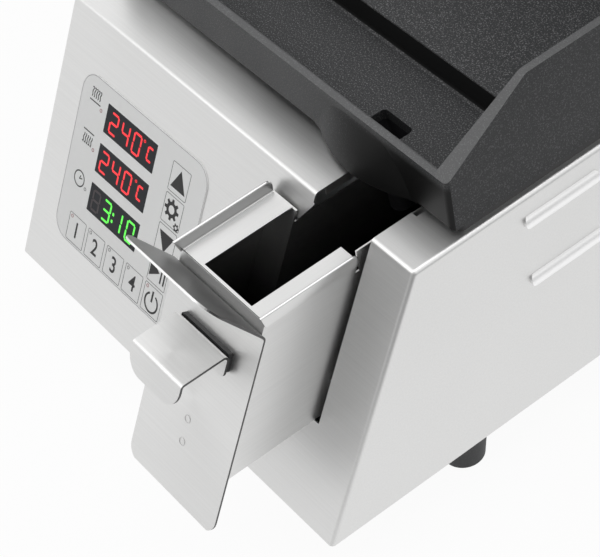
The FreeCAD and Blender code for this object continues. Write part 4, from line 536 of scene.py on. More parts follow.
def segment_tree():
    """Bars with round ends, one on each point, turned and stretched by the points' own values."""
    if "Segments" in bpy.data.node_groups:
        return bpy.data.node_groups["Segments"]
    tree, start, end = geometry_tree("Segments", [
        ("Length", NUMBER, 0.0055), ("Width", NUMBER, 0.0012), ("Material", MATERIAL, None)])
    bar = tree.nodes.new("GeometryNodeCurvePrimitiveQuadrilateral")
    fillet = add_node(tree, "GeometryNodeFilletCurve", mode="POLY", Count=5)
    end_radius = add_node(tree, "ShaderNodeMath", operation="MULTIPLY", at={1: 0.45})
    fill = add_node(tree, "GeometryNodeFillCurve", mode="NGONS")
    wire(tree, (start, "Length", bar, "Width"), (start, "Width", bar, "Height"),
         (start, "Width", end_radius, 0), (end_radius, 0, fillet, "Radius"), (bar, 0, fillet, "Curve"),
         (fillet, 0, fill, "Curve"))
    scatter(tree, start, end, fill.outputs[0], turned=True, scaled=True)
    return tree


def grown(name, tree, points, turns=None, sizes=None, **values):
    """Object made by a geometry tree from points, baked to one mesh."""
    mesh = bpy.data.meshes.new(f"{name}_points")
    mesh.from_pydata([tuple(p) for p in points], [], [])
    count = len(points)
    given = (("turn", turns or [(0.0, 0.0, 0.0)] * count), ("size", sizes or [(1.0, 1.0, 1.0)] * count))
    for label, rows in given:
        layer = mesh.attributes.new(label, "FLOAT_VECTOR", "POINT")
        for item, row in zip(layer.data, rows):
            item.vector = row
    seed = link(bpy.data.objects.new(f"{name}_seed", mesh))
    modifier = seed.modifiers.new("grow", "NODES")
    modifier.node_group = tree
    sockets = {item.name: item.identifier for item in tree.interface.items_tree
               if item.item_type == "SOCKET" and item.in_out == "INPUT"}
    for label, value in values.items():
        modifier[sockets[label]] = value
    bpy.context.view_layer.update()
    graph = bpy.context.evaluated_depsgraph_get()
    baked = bpy.data.meshes.new_from_object(seed.evaluated_get(graph))
    if not baked.polygons:
        raise RuntimeError(f"{name} came out empty")
    baked.name = name
    obj = link(bpy.data.objects.new(name, baked))
    bpy.data.objects.remove(seed)
    return obj


def shapes(name, loops, material):
    """Flat filled outlines; a loop of loops is an outline with holes."""
    work = bmesh.new()
    for loop in loops:
        rings = loop if isinstance(loop[0][0], (tuple, list)) else [loop]
        edges = []
        for ring in rings:
            verts = [work.verts.new((x, y, 0.0)) for x, y in ring]
            edges += [work.edges.new((a, b)) for a, b in zip(verts, verts[1:] + verts[:1])]
        bmesh.ops.triangle_fill(work, use_beauty=True, use_dissolve=False, edges=edges, normal=(0, 0, 1))
    bmesh.ops.recalc_face_normals(work, faces=work.faces)
    for face in work.faces:
        if face.normal.z < 0:
            face.normal_flip()
    mesh = bpy.data.meshes.new(name)
    work.to_mesh(mesh)
    work.free()
    mesh.materials.append(material)
    return link(bpy.data.objects.new(name, mesh))


def outwards(obj):
    """Turns a closed mesh's faces outwards."""
    work = bmesh.new()
    work.from_mesh(obj.data)
    bmesh.ops.recalc_face_normals(work, faces=work.faces)
    work.to_mesh(obj.data)
    work.free()


def smooth(obj):
    """Rounds the look of a mesh's gentle folds and keeps its sharp ones."""
    obj.data.shade_smooth()
    obj.data.set_sharp_from_angle(angle=FOLD_ANGLE)


def bake(obj):
    """Puts an object's modifiers into its mesh."""
    bpy.context.view_layer.update()
    mesh = bpy.data.meshes.new_from_object(obj.evaluated_get(bpy.context.evaluated_depsgraph_get()))
    obj.modifiers.clear()
    obj.data = mesh
    outwards(obj)
    smooth(obj)


def disc(x, y, radius, count):
    """Points of a circle."""
    turns = [math.tau * k / count for k in range(count)]
    return [(x + radius * math.cos(turn), y + radius * math.sin(turn)) for turn in turns]


def stroke(points, width):
    """Outline of a line of even width through points."""
    left, right = [], []
    for i, point in enumerate(points):
        before, after = Vector(points[max(i - 1, 0)]), Vector(points[min(i + 1, len(points) - 1)])
        way = (after - before).normalized() * width / 2
        left.append((point[0] - way.y, point[1] + way.x))
        right.append((point[0] + way.y, point[1] - way.x))
    return right + left[::-1]


def arc(x, y, radius, start, stop, count=40):
    """Points along part of a circle, angles in degrees."""
    angles = [math.radians(start + (stop - start) * k / count) for k in range(count + 1)]
    return [(x + radius * math.cos(a), y + radius * math.sin(a)) for a in angles]


def cog(x, y, radius, teeth, bore):
    """Toothed wheel with a round hole."""
    ring = []
    for k in range(teeth):
        middle = math.tau * k / teeth
        for share, reach in TOOTH:
            angle = middle + share * math.tau / teeth
            ring.append((x + radius * reach * math.cos(angle), y + radius * reach * math.sin(angle)))
    return [ring, disc(x, y, bore, 24)]


def lettering(name, words, material, size):
    """Flat text objects joined to one mesh; words are (text, x, y)."""
    parts = []
    for text, x, y in words:
        curve = bpy.data.curves.new(name, "FONT")
        curve.body = text
        curve.size = size
        curve.align_x = "CENTER"
        curve.align_y = "CENTER"
        curve.offset = size * LETTER_WEIGHT
        holder = link(bpy.data.objects.new(name, curve))
        bpy.context.view_layer.update()
        mesh = bpy.data.meshes.new_from_object(holder.evaluated_get(bpy.context.evaluated_depsgraph_get()))
        mesh.transform(Matrix.Translation((x, y, 0.0)) @ Matrix.Diagonal((LETTER_WIDTH, 1.0, 1.0, 1.0)))
        parts.append(mesh)
        bpy.data.objects.remove(holder)
    work = bmesh.new()
    for mesh in parts:
        work.from_mesh(mesh)
    whole = bpy.data.meshes.new(name)
    work.to_mesh(whole)
    work.free()
    whole.materials.clear()
    whole.materials.append(material)
    return link(bpy.data.objects.new(name, whole))


def panel_matrix(settings, lift=0.0):
    """From the flat drawing plane (across, up the slope, out) to the sloping panel."""
    turn = Matrix.Rotation(math.radians(90.0) - settings.slope, 4, "X")
    out = Vector((0.0, -math.cos(settings.slope), math.sin(settings.slope)))
    return Matrix.Translation(Vector((0.0, CORNER.y, CORNER.z)) + out * lift) @ turn


def set_on_panel(obj, settings, lift, body="chassis", shear=0.0, forward=0.0):
    """Moves a flat drawn object's vertices onto the panel and lets it ride there."""
    lean = Matrix.Identity(4)
    lean[0][1] = shear
    place = Matrix.Translation((0.0, -forward, 0.0)) @ panel_matrix(settings, lift)
    obj.data.transform(place @ lean)
    obj.data.update()
    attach(obj, body)
    return obj


class GRILL_OT_stage(bpy.types.Operator):
    """Build the floor, the surroundings, the lamps and the camera"""
    bl_idname = "grill.stage"
    bl_label = "Stage"
    MATT_FLOOR = (0.86, 0.86, 0.86, 1.0)
    WHITE_SHARE = 0.95
    SKY_FALL = (-0.2, 0.9)
    LAMP_AIM = Vector((0.05, -0.1, 0.15))
    LAMPS = (("front", (-0.6, -1.3, 1.9), 1.4), ("top", (0.1, 0.3, 2.1), 1.6), ("side", (1.6, 0.4, 1.4), 1.2))

    def execute(self, context):
        settings = context.scene.grill_stage
        context.scene.view_settings.view_transform = "Standard"
        self.floor(settings)
        self.surroundings(context.scene, settings)
        for name, place, size in self.LAMPS:
            self.lamp(name, Vector(place), size, getattr(settings, f"{name}_power"))
        self.camera(context.scene, settings)
        return {"FINISHED"}

    def camera(self, scene, settings):
        """Camera that sees the part as the photo does."""
        camera = bpy.data.cameras.new("Camera")
        camera.lens = settings.lens
        camera.sensor_width = 36.0
        camera.sensor_fit = "HORIZONTAL"
        camera.clip_start = 0.01
        view = link(bpy.data.objects.new("Camera", camera))
        back = -Vector(settings.camera_view).normalized()
        across = Vector(settings.camera_up).cross(back).normalized()
        turn = Matrix((across, back.cross(across), back)).transposed()
        view.matrix_world = Matrix.Translation(CORNER + Vector(settings.camera_offset)) @ turn.to_4x4()
        scene.camera = view

    def seen_or_mirrored(self, tree):
        """Node that gives 1 for camera, glossy and transmission rays."""
        path = tree.nodes.new("ShaderNodeLightPath")
        first = add_node(tree, "ShaderNodeMath", operation="MAXIMUM")
        second = add_node(tree, "ShaderNodeMath", operation="MAXIMUM")
        wire(tree, (path, "Is Camera Ray", first, 0), (path, "Is Glossy Ray", first, 1),
             (first, 0, second, 0), (path, "Is Transmission Ray", second, 1))
        return second

    def floor(self, settings):
        """White floor, which mirrors show darker far to the front right."""
        half = settings.floor_size / 2
        verts = [(-half, -half, 0), (half, -half, 0), (half, half, 0), (-half, half, 0)]
        material = bpy.data.materials.new("floor")
        material.use_nodes = True
        tree = material.node_tree
        tree.nodes.clear()
        matt = add_node(tree, "ShaderNodeBsdfDiffuse", Color=self.MATT_FLOOR)
        white = add_node(tree, "ShaderNodeEmission", Color=(*settings.floor_colour, 1.0))
        share = add_node(tree, "ShaderNodeMath", operation="MULTIPLY", at={1: self.WHITE_SHARE})
        mix = tree.nodes.new("ShaderNodeMixShader")
        end = tree.nodes.new("ShaderNodeOutputMaterial")
        place = tree.nodes.new("ShaderNodeTexCoord")
        path = tree.nodes.new("ShaderNodeLightPath")
        reach = add_node(tree, "ShaderNodeVectorMath", operation="DOT_PRODUCT", at={1: DARK_WAY})
        fall = add_node(tree, "ShaderNodeMapRange", interpolation_type="SMOOTHSTEP", To_Min=1.0,
                        From_Min=settings.dark_start, From_Max=settings.dark_end, To_Max=settings.dark_level)
        glow = add_node(tree, "ShaderNodeMix", data_type="FLOAT", A=1.0)
        seen = self.seen_or_mirrored(tree)
        wire(tree, (place, "Object", reach, 0), (reach, "Value", fall, "Value"),
             (path, "Is Glossy Ray", glow, "Factor"), (fall, 0, glow, "B"),
             (glow, "Result", white, "Strength"), (seen, 0, share, 0), (share, 0, mix, "Fac"),
             (matt, 0, mix, 1), (white, 0, mix, 2), (mix, 0, end, "Surface"))
        mesh_object("floor", verts, [(0, 1, 2, 3)], material)

    def surroundings(self, scene, settings):
        """White sky, greyer to the front right, that lights matt surfaces less than it is seen."""
        world = bpy.data.worlds.new("studio")
        scene.world = world
        world.use_nodes = True
        tree = world.node_tree
        back = tree.nodes["Background"]
        low, high = self.SKY_FALL
        place = tree.nodes.new("ShaderNodeTexCoord")
        way = add_node(tree, "ShaderNodeVectorMath", operation="DOT_PRODUCT", at={1: DARK_WAY})
        ramp = add_node(tree, "ShaderNodeMapRange", From_Min=low, From_Max=high, To_Min=1.0,
                        To_Max=settings.shade)
        strength = add_node(tree, "ShaderNodeMapRange", To_Min=settings.fill)
        seen = self.seen_or_mirrored(tree)
        wire(tree, (place, "Generated", way, 0), (way, "Value", ramp, "Value"), (ramp, 0, back, "Color"),
             (seen, 0, strength, "Value"), (strength, 0, back, "Strength"))

    def lamp(self, name, place, size, power):
        """Square lamp that faces the part."""
        lamp = bpy.data.lights.new(f"{name}_lamp", "AREA")
        lamp.size = size
        lamp.energy = power
        obj = link(bpy.data.objects.new(f"{name}_lamp", lamp))
        obj.location = place
        obj.rotation_euler = (self.LAMP_AIM - place).to_track_quat("-Z", "Y").to_euler()


class GRILL_OT_steel(bpy.types.Operator):
    """Give the sheet steel and machined pieces their brushed or plain finish"""
    bl_idname = "grill.steel"
    bl_label = "Steel"
    # How far past the housing's flank the louvres' crests get a painted highlight, and how thin a skin of the
    # box stays out of the painted shade inside it.
    CREST = (0.4 * MM, 1.4 * MM)
    SKIN = 0.6 * MM
    PAINTED_SHADE_ROUGHNESS = 0.5

    def execute(self, context):
        settings = context.scene.grill_steel
        across = (LONG_LINES, settings.fineness, settings.fineness)
        along = (settings.fineness, LONG_LINES, settings.fineness)
        sheet = self.steel("stainless", settings, across)
        # Painted highlight on the louvres' crests, where they stand proud of both flanks.
        for way in (RIGHT, LEFT):
            flank = BASE_HIGH.x + MM
            crest_highlight = rising(sheet, way, flank + self.CREST[0], flank + self.CREST[1])
            darken(sheet, crest_highlight, settings.louvre)
        dress(sheet, "housing_shell", "rear_cover", "hinge_tower", "upper_hood")
        dress(self.steel("stainless_side", settings, along), "lid_arm_left", "lid_arm_right", "handle_bar")
        self.drawer(settings, across, along)
        self.zinc()
        dress(brushed("machined", (0.5, 0.5, 0.5), roughness=0.3, grain=0.2, stretch=along),
              "foot_screws", "board_posts", "plate_screws", "lower_probe", "upper_probe", "handle_rivets",
              "bracket_screws", "hinge_shaft")
        dress(brushed("plated", (0.78, 0.78, 0.79), roughness=0.12, grain=0.05, stretch=across),
              "shaft_nuts", "handle_caps", "pivot_bolts")
        dress(brushed("heater_sheath", (0.30, 0.26, 0.24), roughness=0.4, grain=0.3, stretch=across),
              "lower_element", "upper_element")
        dress(brushed("spring_steel", (0.2, 0.2, 0.21), roughness=0.35, grain=0.2, stretch=across),
              "torsion_spring_left", "torsion_spring_right")
        return {"FINISHED"}

    def steel(self, name, settings, stretch):
        """Brushed sheet under its own name."""
        return brushed(name, settings.colour, settings.roughness, settings.grain, stretch)

    def zinc(self):
        """Zinc-plated and bronze pieces, with a mottled surface; the base plate's zinc is dark, as painted
        shade under the housing.
        """
        mottled = {"amount": 0.5, "metallic": 1.0}
        dress(grained("zinc", (0.50, 0.51, 0.52), (0.6, 0.6, 0.62), roughness=0.42, scale=300.0, height=0.1,
                      **mottled),
              "heat_shield", "drawer_guide", "lower_clamp_sheet", "lower_pan", "pivot_frame",
              "upper_clamp_sheet", "spring_collars", "hinge_bracket_left", "hinge_bracket_right")
        # Painted shade: dark zinc on the base plate, which lies back under the housing.
        dress(grained("zinc_dull", (0.16, 0.165, 0.17), (0.2, 0.2, 0.21), roughness=0.5, scale=300.0,
                      height=0.1, **mottled), "base_plate")
        dress(grained("bronze", (0.55, 0.36, 0.16), (0.3, 0.2, 0.1), roughness=0.4, scale=900.0, **mottled),
              "hinge_bushes")

    def drawer(self, settings, across, along):
        """Drawer's sheets: dark cut edges, painted shade on the shield's back, and painted shade deep inside
        the box.
        """
        handle = self.steel("handle_steel", settings, across)
        darken(handle, facing(handle, RIGHT, 0.6, 0.8), settings.edge)
        dress(handle, "drawer_handle")
        front = self.steel("drawer_steel", settings, across)
        # Painted shade on the back of the front sheet, the shield, where it faces backwards.
        darken(front, facing(front, BACKWARD, 0.3, 0.6, 0.0), settings.shield)
        darken(front, facing(front, RIGHT, 0.6, 0.8), settings.edge)
        dress(front, "drawer_front")
        walls = self.steel("box_steel", settings, along)
        low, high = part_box("drawer_box")
        skin = Vector((self.SKIN, self.SKIN, 0.0))
        # Painted shade inside the drawer's box, darker with depth below its mouth.
        mask = inside(walls, low + skin + Vector((0.0, 0.0, self.SKIN)), high - skin, settings.well_depth)
        darken(walls, mask, settings.painted_shade, self.PAINTED_SHADE_ROUGHNESS)
        dress(walls, "drawer_box")


class GRILL_OT_castings(bpy.types.Operator):
    """Give the castings their speckled enamel"""
    bl_idname = "grill.castings"
    bl_label = "Castings"
    # Millimetres behind the plate's front and above its foot: gutter's floor, curve, riser and hollow.
    STEP_SECTION = ((67.0, 8.0), (67.0, 13.95), (67.6, 14.1), (68.6, 14.9), (69.3, 16.2), (69.6, 18.0),
                    (69.65, 30.4), (71.0, 30.4), (71.0, 8.0))
    # Fading under the upper edges of the painted shade on the step and wall, and where the lighter tops lie
    # under the rim.
    SOFT_STEP, SOFT_WALL = 0.5 * MM, 6.0 * MM
    LIGHTER_BAND = (1.7 * MM, 0.3 * MM)

    def execute(self, context):
        settings = context.scene.grill_enamel
        low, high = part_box("lower_grill_plate")
        enamel = grained("enamel", settings.colour, settings.speck, settings.speck_amount,
                         settings.roughness, settings.speck_scale, height=0.35)
        shader_of(enamel)[1].inputs["Specular IOR Level"].default_value = settings.gloss
        # Painted shade: half of a darker colour on the upright faces.
        darken(enamel, facing(enamel, UP, 0.75, 0.15), settings.upright, share=0.5)
        # Painted shade on the forward-facing step between the gutter and the cooking face.
        riser = inside(enamel, (low.x, low.y + settings.riser_start, low.z + settings.riser_low),
                       (high.x, low.y + settings.riser_end, low.z + settings.riser_top), self.SOFT_STEP)
        darken(enamel, product(enamel, riser, facing(enamel, FORWARD, 0.5, 0.8, 0.0)), settings.painted_shade)
        # Painted shade on the front wall's face, darker towards the right.
        wall = inside(enamel, (0.0, low.y - MM, low.z - MM),
                      (high.x, low.y + settings.shade_width, settings.rim_level - MM), self.SOFT_WALL)
        shade = rising(enamel, RIGHT, settings.shade_start, settings.shade_end)
        darken(enamel, product(enamel, wall, shade), settings.painted_shade)
        # Lighter colour on the up-facing tops of the walls, just under the rim.
        lighter = rising(enamel, UP, *(settings.rim_level - drop for drop in self.LIGHTER_BAND))
        top = facing(enamel, UP, 0.35, 0.6, 0.0)
        darken(enamel, product(enamel, lighter, top), settings.rim, share=0.6)
        dress(enamel, "lower_grill_plate", "upper_grill_plate")
        self.step(settings, low, high, enamel)
        return {"FINISHED"}

    def step(self, settings, low, high, enamel):
        """Hollow fillet that closes the casting between the gutter's floor and the cooking face."""
        ends = (low.x + settings.side_wall, high.x - settings.side_wall)
        verts = [(x, low.y + y * MM, low.z + z * MM) for x in ends for y, z in self.STEP_SECTION]
        count = len(self.STEP_SECTION)
        faces = [(k, (k + 1) % count, count + (k + 1) % count, count + k) for k in range(count)]
        faces += [tuple(range(count)), tuple(range(2 * count - 1, count - 1, -1))]
        fillet = mesh_object("gutter_step", verts, faces, enamel)
        outwards(fillet)
        smooth(fillet)
        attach(fillet, "chassis")


class GRILL_OT_drain(bpy.types.Operator):
    """Build the funnel that narrows from the slot to the spout"""
    bl_idname = "grill.drain"
    bl_label = "Drain"
    PER_CORNER = 12
    STEPS_DOWN = 6
    CORNER_RADIUS = 2.5 * MM

    def execute(self, context):
        settings = context.scene.grill_rim
        low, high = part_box("drain_spout")
        steps = [k / self.STEPS_DOWN for k in range(self.STEPS_DOWN + 1)]
        inner, outer = ([self.ring(settings, low, high, high.z - settings.throat * k, self.ease(k), grow)
                         for k in steps] for grow in (0.0, settings.funnel))
        rings = inner + [self.ring(settings, low, high, low.z, 1.0, grow) for grow in (0.0, settings.funnel)]
        rings += outer[::-1]
        count = len(rings[0])
        faces = []
        for row in range(len(rings)):
            this, after = row * count, (row + 1) % len(rings) * count
            for k in range(count):
                beside = (k + 1) % count
                faces.append((this + k, this + beside, after + beside, after + k))
        verts = [point for ring in rings for point in ring]
        funnel = mesh_object("drain_funnel", verts, faces, bpy.data.materials["enamel"])
        outwards(funnel)
        smooth(funnel)
        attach(funnel, "chassis")
        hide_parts("drain_spout")
        return {"FINISHED"}

    def ease(self, share):
        """Slow start and slow end."""
        return 3 * share * share - 2 * share ** 3

    def ring(self, settings, low, high, z, share, grow):
        """Points at a height, from the slot's outline (0) to the round bore (1)."""
        corner = self.CORNER_RADIUS + grow
        wide, deep = settings.slot_width / 2 + grow, settings.slot_depth / 2 + grow
        count = 4 * self.PER_CORNER
        points = []
        for k in range(count):
            side, turn = k // self.PER_CORNER, math.tau * k / count
            x = (wide - corner) * (1, -1, -1, 1)[side]
            y = (deep - corner) * (1, 1, -1, -1)[side]
            bend = math.radians(90 * side + 90 * (k % self.PER_CORNER) / (self.PER_CORNER - 1))
            slot = Vector((x + corner * math.cos(bend), y + corner * math.sin(bend) - settings.slot_ahead))
            bore = Vector((math.cos(turn), math.sin(turn))) * (settings.bore + grow)
            place = slot.lerp(bore, share)
            points.append(((low.x + high.x) / 2 + place.x, (low.y + high.y) / 2 + place.y, z))
        return points


class GRILL_OT_rim(bpy.types.Operator):
    """Fold the drawer's rim: ledges, raised lips and hems over the walls"""
    bl_idname = "grill.rim"
    bl_label = "Drawer rim"
    ROLL = 0.5 * MM
    LIFT = 0.1 * MM
    FRONT_STRIP = 6.0 * MM
    BACK_STRIP = 8.0 * MM
    BEND_STEPS, ROLL_STEPS, CORNER_STEPS = 5, 6, 6
    SOFT_GRAIN = 0.6

    def execute(self, context):
        settings = context.scene.grill_rim
        low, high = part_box("drawer_rim")
        work = bmesh.new()
        left = self.side(work, settings, (low, high), low.x + settings.wall, -1)
        right = self.side(work, settings, (low, high), high.x - settings.wall, 1)
        work.faces.new((*left, *right[::-1]))
        bmesh.ops.recalc_face_normals(work, faces=work.faces)
        mesh = bpy.data.meshes.new("drawer_rim_sheet")
        work.to_mesh(mesh)
        work.free()
        for material in self.materials(context.scene.grill_steel):
            mesh.materials.append(material)
        obj = link(bpy.data.objects.new("drawer_rim_sheet", mesh))
        thick = obj.modifiers.new("sheet", "SOLIDIFY")
        thick.thickness = settings.sheet
        thick.offset = 0.0
        thick.use_even_offset = True
        bake(obj)
        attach(obj, "drawer")
        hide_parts("drawer_rim")
        return {"FINISHED"}

    def materials(self, steel):
        """Smooth steel with dark cut edges, and painted shade on the left lip's inner face."""
        stretch = (steel.fineness, LONG_LINES, steel.fineness)
        rim, lip = (brushed(name, colour, steel.smooth, steel.grain * self.SOFT_GRAIN, stretch)
                    for name, colour in (("rim_steel", steel.colour), ("lip_steel", steel.lip)))
        darken(rim, facing(rim, BACKWARD, 0.6, 0.8), steel.edge)
        return rim, lip

    def side(self, work, settings, box, wall, out):
        """Adds one side's faces; out is -1 for the left side. Gives the front ledge's two corners there."""
        (low, high), slope = box, math.tan(bpy.context.scene.grill_keypad.slope)
        level, front, back, round_off = low.z + settings.level, low.y, high.y, settings.back_corner
        ledge = settings.left_ledge if out < 0 else settings.right_ledge
        lip = settings.left_lip if out < 0 else settings.right_lip
        places = [front, front + settings.front_ledge, front + self.FRONT_STRIP, (front + back) / 2,
                  back - round_off - self.BACK_STRIP]
        places += [back - round_off + round_off * math.sin(math.radians(90 / self.CORNER_STEPS * k))
                   for k in range(self.CORNER_STEPS + 1)]
        line, rolled = self.profile(settings, wall, out, ledge, lip, level, low.z)
        grid = []
        for y in places:
            past = max(0.0, y - (back - round_off))
            drop = round_off - math.sqrt(max(0.0, round_off ** 2 - past ** 2))
            row = []
            for i, (x, z) in enumerate(line):
                z -= drop if rolled <= i < len(line) - 1 else 0.0
                lean = -settings.lean if z > level else slope
                row.append(work.verts.new((x, y + (z - level) * lean if y == front else y, z)))
            grid.append(row)
        for a, b in zip(grid, grid[1:]):
            for i in range(len(line) - 1):
                face = work.faces.new((a[i], a[i + 1], b[i + 1], b[i]))
                face.smooth = True
                # Painted shade: the left lip's inner faces take the second, darker steel.
                face.material_index = 1 if out < 0 and 2 <= i < rolled else 0
        return grid[0][0], grid[1][0]

    def profile(self, settings, wall, out, ledge, lip, level, foot):
        """Section of one side from the well's edge to the hem, and where the rolled top begins in it."""
        half, bend = settings.sheet / 2, settings.bend
        upright = wall - out * self.ROLL
        floor = level + half + self.LIFT
        line = [(wall - out * ledge, floor)]
        for k in range(self.BEND_STEPS + 1):
            a = math.radians(90 / self.BEND_STEPS * k)
            line.append((upright - out * bend + out * bend * math.sin(a), floor + bend - bend * math.cos(a)))
        rolled = len(line)
        top = level + lip - half - self.ROLL
        for k in range(self.ROLL_STEPS + 1):
            a = math.radians(180 - 180 / self.ROLL_STEPS * k)
            line.append((wall + out * self.ROLL * math.cos(a), top + self.ROLL * math.sin(a)))
        line.append((wall + out * self.ROLL, foot))
        return line, rolled


class GRILL_OT_mouldings(bpy.types.Operator):
    """Give the plastic, rubber, ceramic and fibre pieces their finish"""
    bl_idname = "grill.mouldings"
    bl_label = "Mouldings"

    def execute(self, context):
        dress(grained("black_plastic", (0.018, 0.018, 0.019), (0.04, 0.04, 0.04), amount=0.4, roughness=0.45,
                      scale=1200.0),
              "cable_gland", "conduit_socket", "hood_socket", "handle_spacer", "handle_grip",
              "display_modules", "power_relays", "lid_stops", "plate_gasket")
        dress(grained("rubber", (0.035, 0.036, 0.038), (0.07, 0.07, 0.07), amount=0.4, roughness=0.62,
                      scale=900.0),
              "foot_front_left", "foot_front_right", "foot_back_left", "foot_back_right")
        dress(grained("membrane", (0.89, 0.895, 0.89), (0.84, 0.84, 0.84), amount=0.3, roughness=0.4,
                      scale=2200.0, height=0.08), "keypad_film")
        lens = grained("lens", (0.003, 0.005, 0.010), (0.004, 0.007, 0.013), amount=0.5, roughness=0.24,
                       scale=300.0, height=0.0)
        shader_of(lens)[1].inputs["Specular IOR Level"].default_value = 0.22
        dress(lens, "display_windows")
        dress(grained("board", (0.02, 0.14, 0.05), (0.03, 0.2, 0.08), amount=0.5, roughness=0.4, scale=600.0),
              "control_board")
        dress(grained("ceramic", (0.8, 0.78, 0.72), (0.7, 0.68, 0.6), amount=0.4, roughness=0.5, scale=900.0),
              "terminal_block", "safety_cutout")
        dress(grained("fibre", (0.68, 0.65, 0.56), (0.5, 0.47, 0.4), amount=0.6, roughness=0.85, scale=700.0,
                      height=0.6, depth=0.4 * MM), "lower_insulation", "upper_insulation")
        return {"FINISHED"}


class GRILL_OT_keypad(bpy.types.Operator):
    """Print the keys, their signs and the lamps' rings on the membrane"""
    bl_idname = "grill.keypad"
    bl_label = "Keypad"
    KEYS_LEFT, KEYS_TOP = -116.9 * MM, 50.2 * MM
    KEY_CORNER = 0.9 * MM
    BORDER = {"Width": 123.4 * MM, "Height": 108.6 * MM, "Corner": 12.4 * MM, "Line": 0.3 * MM}
    BORDER_MIDDLE = (-67.8 * MM, 85.2 * MM, 0.0)
    RING = {"Radius": 0.95 * MM, "Line": 0.3 * MM}
    RING_INSET = (2.4 * MM, 2.0 * MM)
    CLOCK_LAMP = (-108.2 * MM, 69.9 * MM, 0.0)
    HEAT_LAMPS = [(-108.8 * MM, 122.0 * MM, 0.0), (-108.6 * MM, 96.1 * MM, 0.0)]
    NUMBER_SIZE = 14.6 * MM
    SIGN_DROP = 0.4 * MM
    # The heat signs and the clock, in millimetres on the panel.
    HEAT_TOPS = ((132.9, 1), (105.1, -1))
    HEAT_LEFT, HEAT_PITCH = -119.3, 1.95
    PLATE_ENDS = (-120.9, -110.1)
    CLOCK, CLOCK_RADIUS, CLOCK_RIM = (-115.4, 73.3), 5.3, 0.8
    HANDS = ((2.9, 1.1), (1.0, 2.5))
    PRINT_LIFT, SIGN_LIFT = 0.04 * MM, 0.02 * MM

    def execute(self, context):
        settings = context.scene.grill_keypad
        # Painted light: the lit lamps' red glow is a plain red colour on their rings.
        colours = {"ink": settings.ink, "thin_ink": (0.13, 0.13, 0.135), "border_ink": (0.42, 0.42, 0.43),
                   "red_ink": (0.30, 0.03, 0.05)}
        ink, grey, pale, red = (new_material(name, colour, 0.5)[0] for name, colour in colours.items())
        lift = settings.film + self.PRINT_LIFT
        keys = self.key_places(settings)
        outlines = grown("key_outlines", outline_tree(), [(x, p, 0.0) for x, p in keys], Material=grey,
                         Width=settings.key_width, Height=settings.key_height, Corner=self.KEY_CORNER,
                         Line=settings.line)
        set_on_panel(outlines, settings, lift)
        border = grown("keypad_border", outline_tree(), [self.BORDER_MIDDLE], Material=pale, **self.BORDER)
        set_on_panel(border, settings, lift)
        inset = (self.RING_INSET[0] - settings.key_width / 2, settings.key_height / 2 - self.RING_INSET[1])
        lamps = [(x + inset[0], p + inset[1], 0.0) for x, p in keys]
        # The lit lamps' rings carry their red light as painted light, a plain colour.
        for name, points, paint in (("lamp_rings", lamps[1:4] + [self.CLOCK_LAMP], grey),
                                    ("lit_lamp_rings", [lamps[0], lamps[4]] + self.HEAT_LAMPS, red)):
            set_on_panel(grown(name, ring_tree(), points, Material=paint, **self.RING), settings, lift)
        centres = [(x, p - self.SIGN_DROP) for x, p in keys]
        words = [(str(i + 1), *centres[i]) for i in range(4)]
        for drawn in (lettering("key_numbers", words, ink, self.NUMBER_SIZE),
                      shapes("key_signs", self.signs(settings, centres), ink),
                      shapes("heat_signs", self.heat_signs(), ink)):
            set_on_panel(drawn, settings, lift + self.SIGN_LIFT)
        return {"FINISHED"}

    def key_places(self, settings):
        """Middles of the keys: the row from left to right, then the column from the bottom up."""
        left, low = self.KEYS_LEFT + settings.key_width / 2, self.KEYS_TOP - settings.key_height / 2
        row = [(left + i * settings.key_pitch, low) for i in range(5)]
        return row + [(row[-1][0], low + i * settings.key_pitch) for i in range(1, 5)]

    def signs(self, settings, centres):
        """Signs on the keys: on and off, play and pause, down, gears and up; sizes in sign units."""
        unit = settings.sign_unit

        def at(middle, *points):
            """Points round a key's middle."""
            return [(middle[0] + x * unit, middle[1] + p * unit) for x, p in points]

        power, start, down, gears, up = centres[4:9]
        ring = arc(*at(power, (0.0, -0.6))[0], 4.7 * unit, 118, 422)
        loops = [stroke(ring, unit), stroke(at(power, (0.0, -0.2), (0.0, 5.4)), 1.2 * unit),
                 at(start, (-6.0, -4.4), (1.2, 0.0), (-6.0, 4.6))]
        loops += [stroke(at(start, (x, -4.4), (x, 4.6)), unit) for x in (2.6, 5.0)]
        loops.append(at(down, (-5.4, 4.4), (0.0, -5.2), (5.4, 4.4)))
        loops += [cog(*at(gears, middle)[0], radius * unit, teeth, bore * unit)
                  for middle, radius, teeth, bore in (((-0.8, 1.0), 5.2, 8, 2.1), ((4.6, -5.2), 2.1, 6, 0.8))]
        loops.append(at(up, (-5.4, -4.4), (5.4, -4.4), (0.0, 5.4)))
        return loops

    def heat_signs(self):
        """Upper and lower heat, and the clock, left of the displays; sizes in millimetres."""
        def line(points, width):
            """A stroke through points."""
            return stroke([(x * MM, p * MM) for x, p in points], width * MM)

        loops = []
        for top, way in self.HEAT_TOPS:
            middle = top - 4.6
            for i in range(5):
                x = self.HEAT_LEFT + i * self.HEAT_PITCH
                wave = []
                for k in range(9):
                    bend = 0.28 * math.sin(k * 1.15) + way * 0.25 * (k - 4) / 4
                    wave.append((x + bend, middle + way * (k - 4) * 0.72 + way * 0.9))
                loops.append(line(wave, 0.7))
                tip = x + way * 0.1
                loops.append(line([(tip - 0.9, middle + way * 3.55), (tip + 0.35, middle + way * 4.05)], 0.6))
            plate = middle - way * 4.2
            loops.append(line([(x, plate) for x in self.PLATE_ENDS], 0.7))
        x, p = self.CLOCK
        loops.append([disc(x * MM, p * MM, radius * MM, 48)
                      for radius in (self.CLOCK_RADIUS, self.CLOCK_RADIUS - self.CLOCK_RIM)])
        return loops + [line([(x, p), (x + right, p + up)], 0.65) for right, up in self.HANDS]


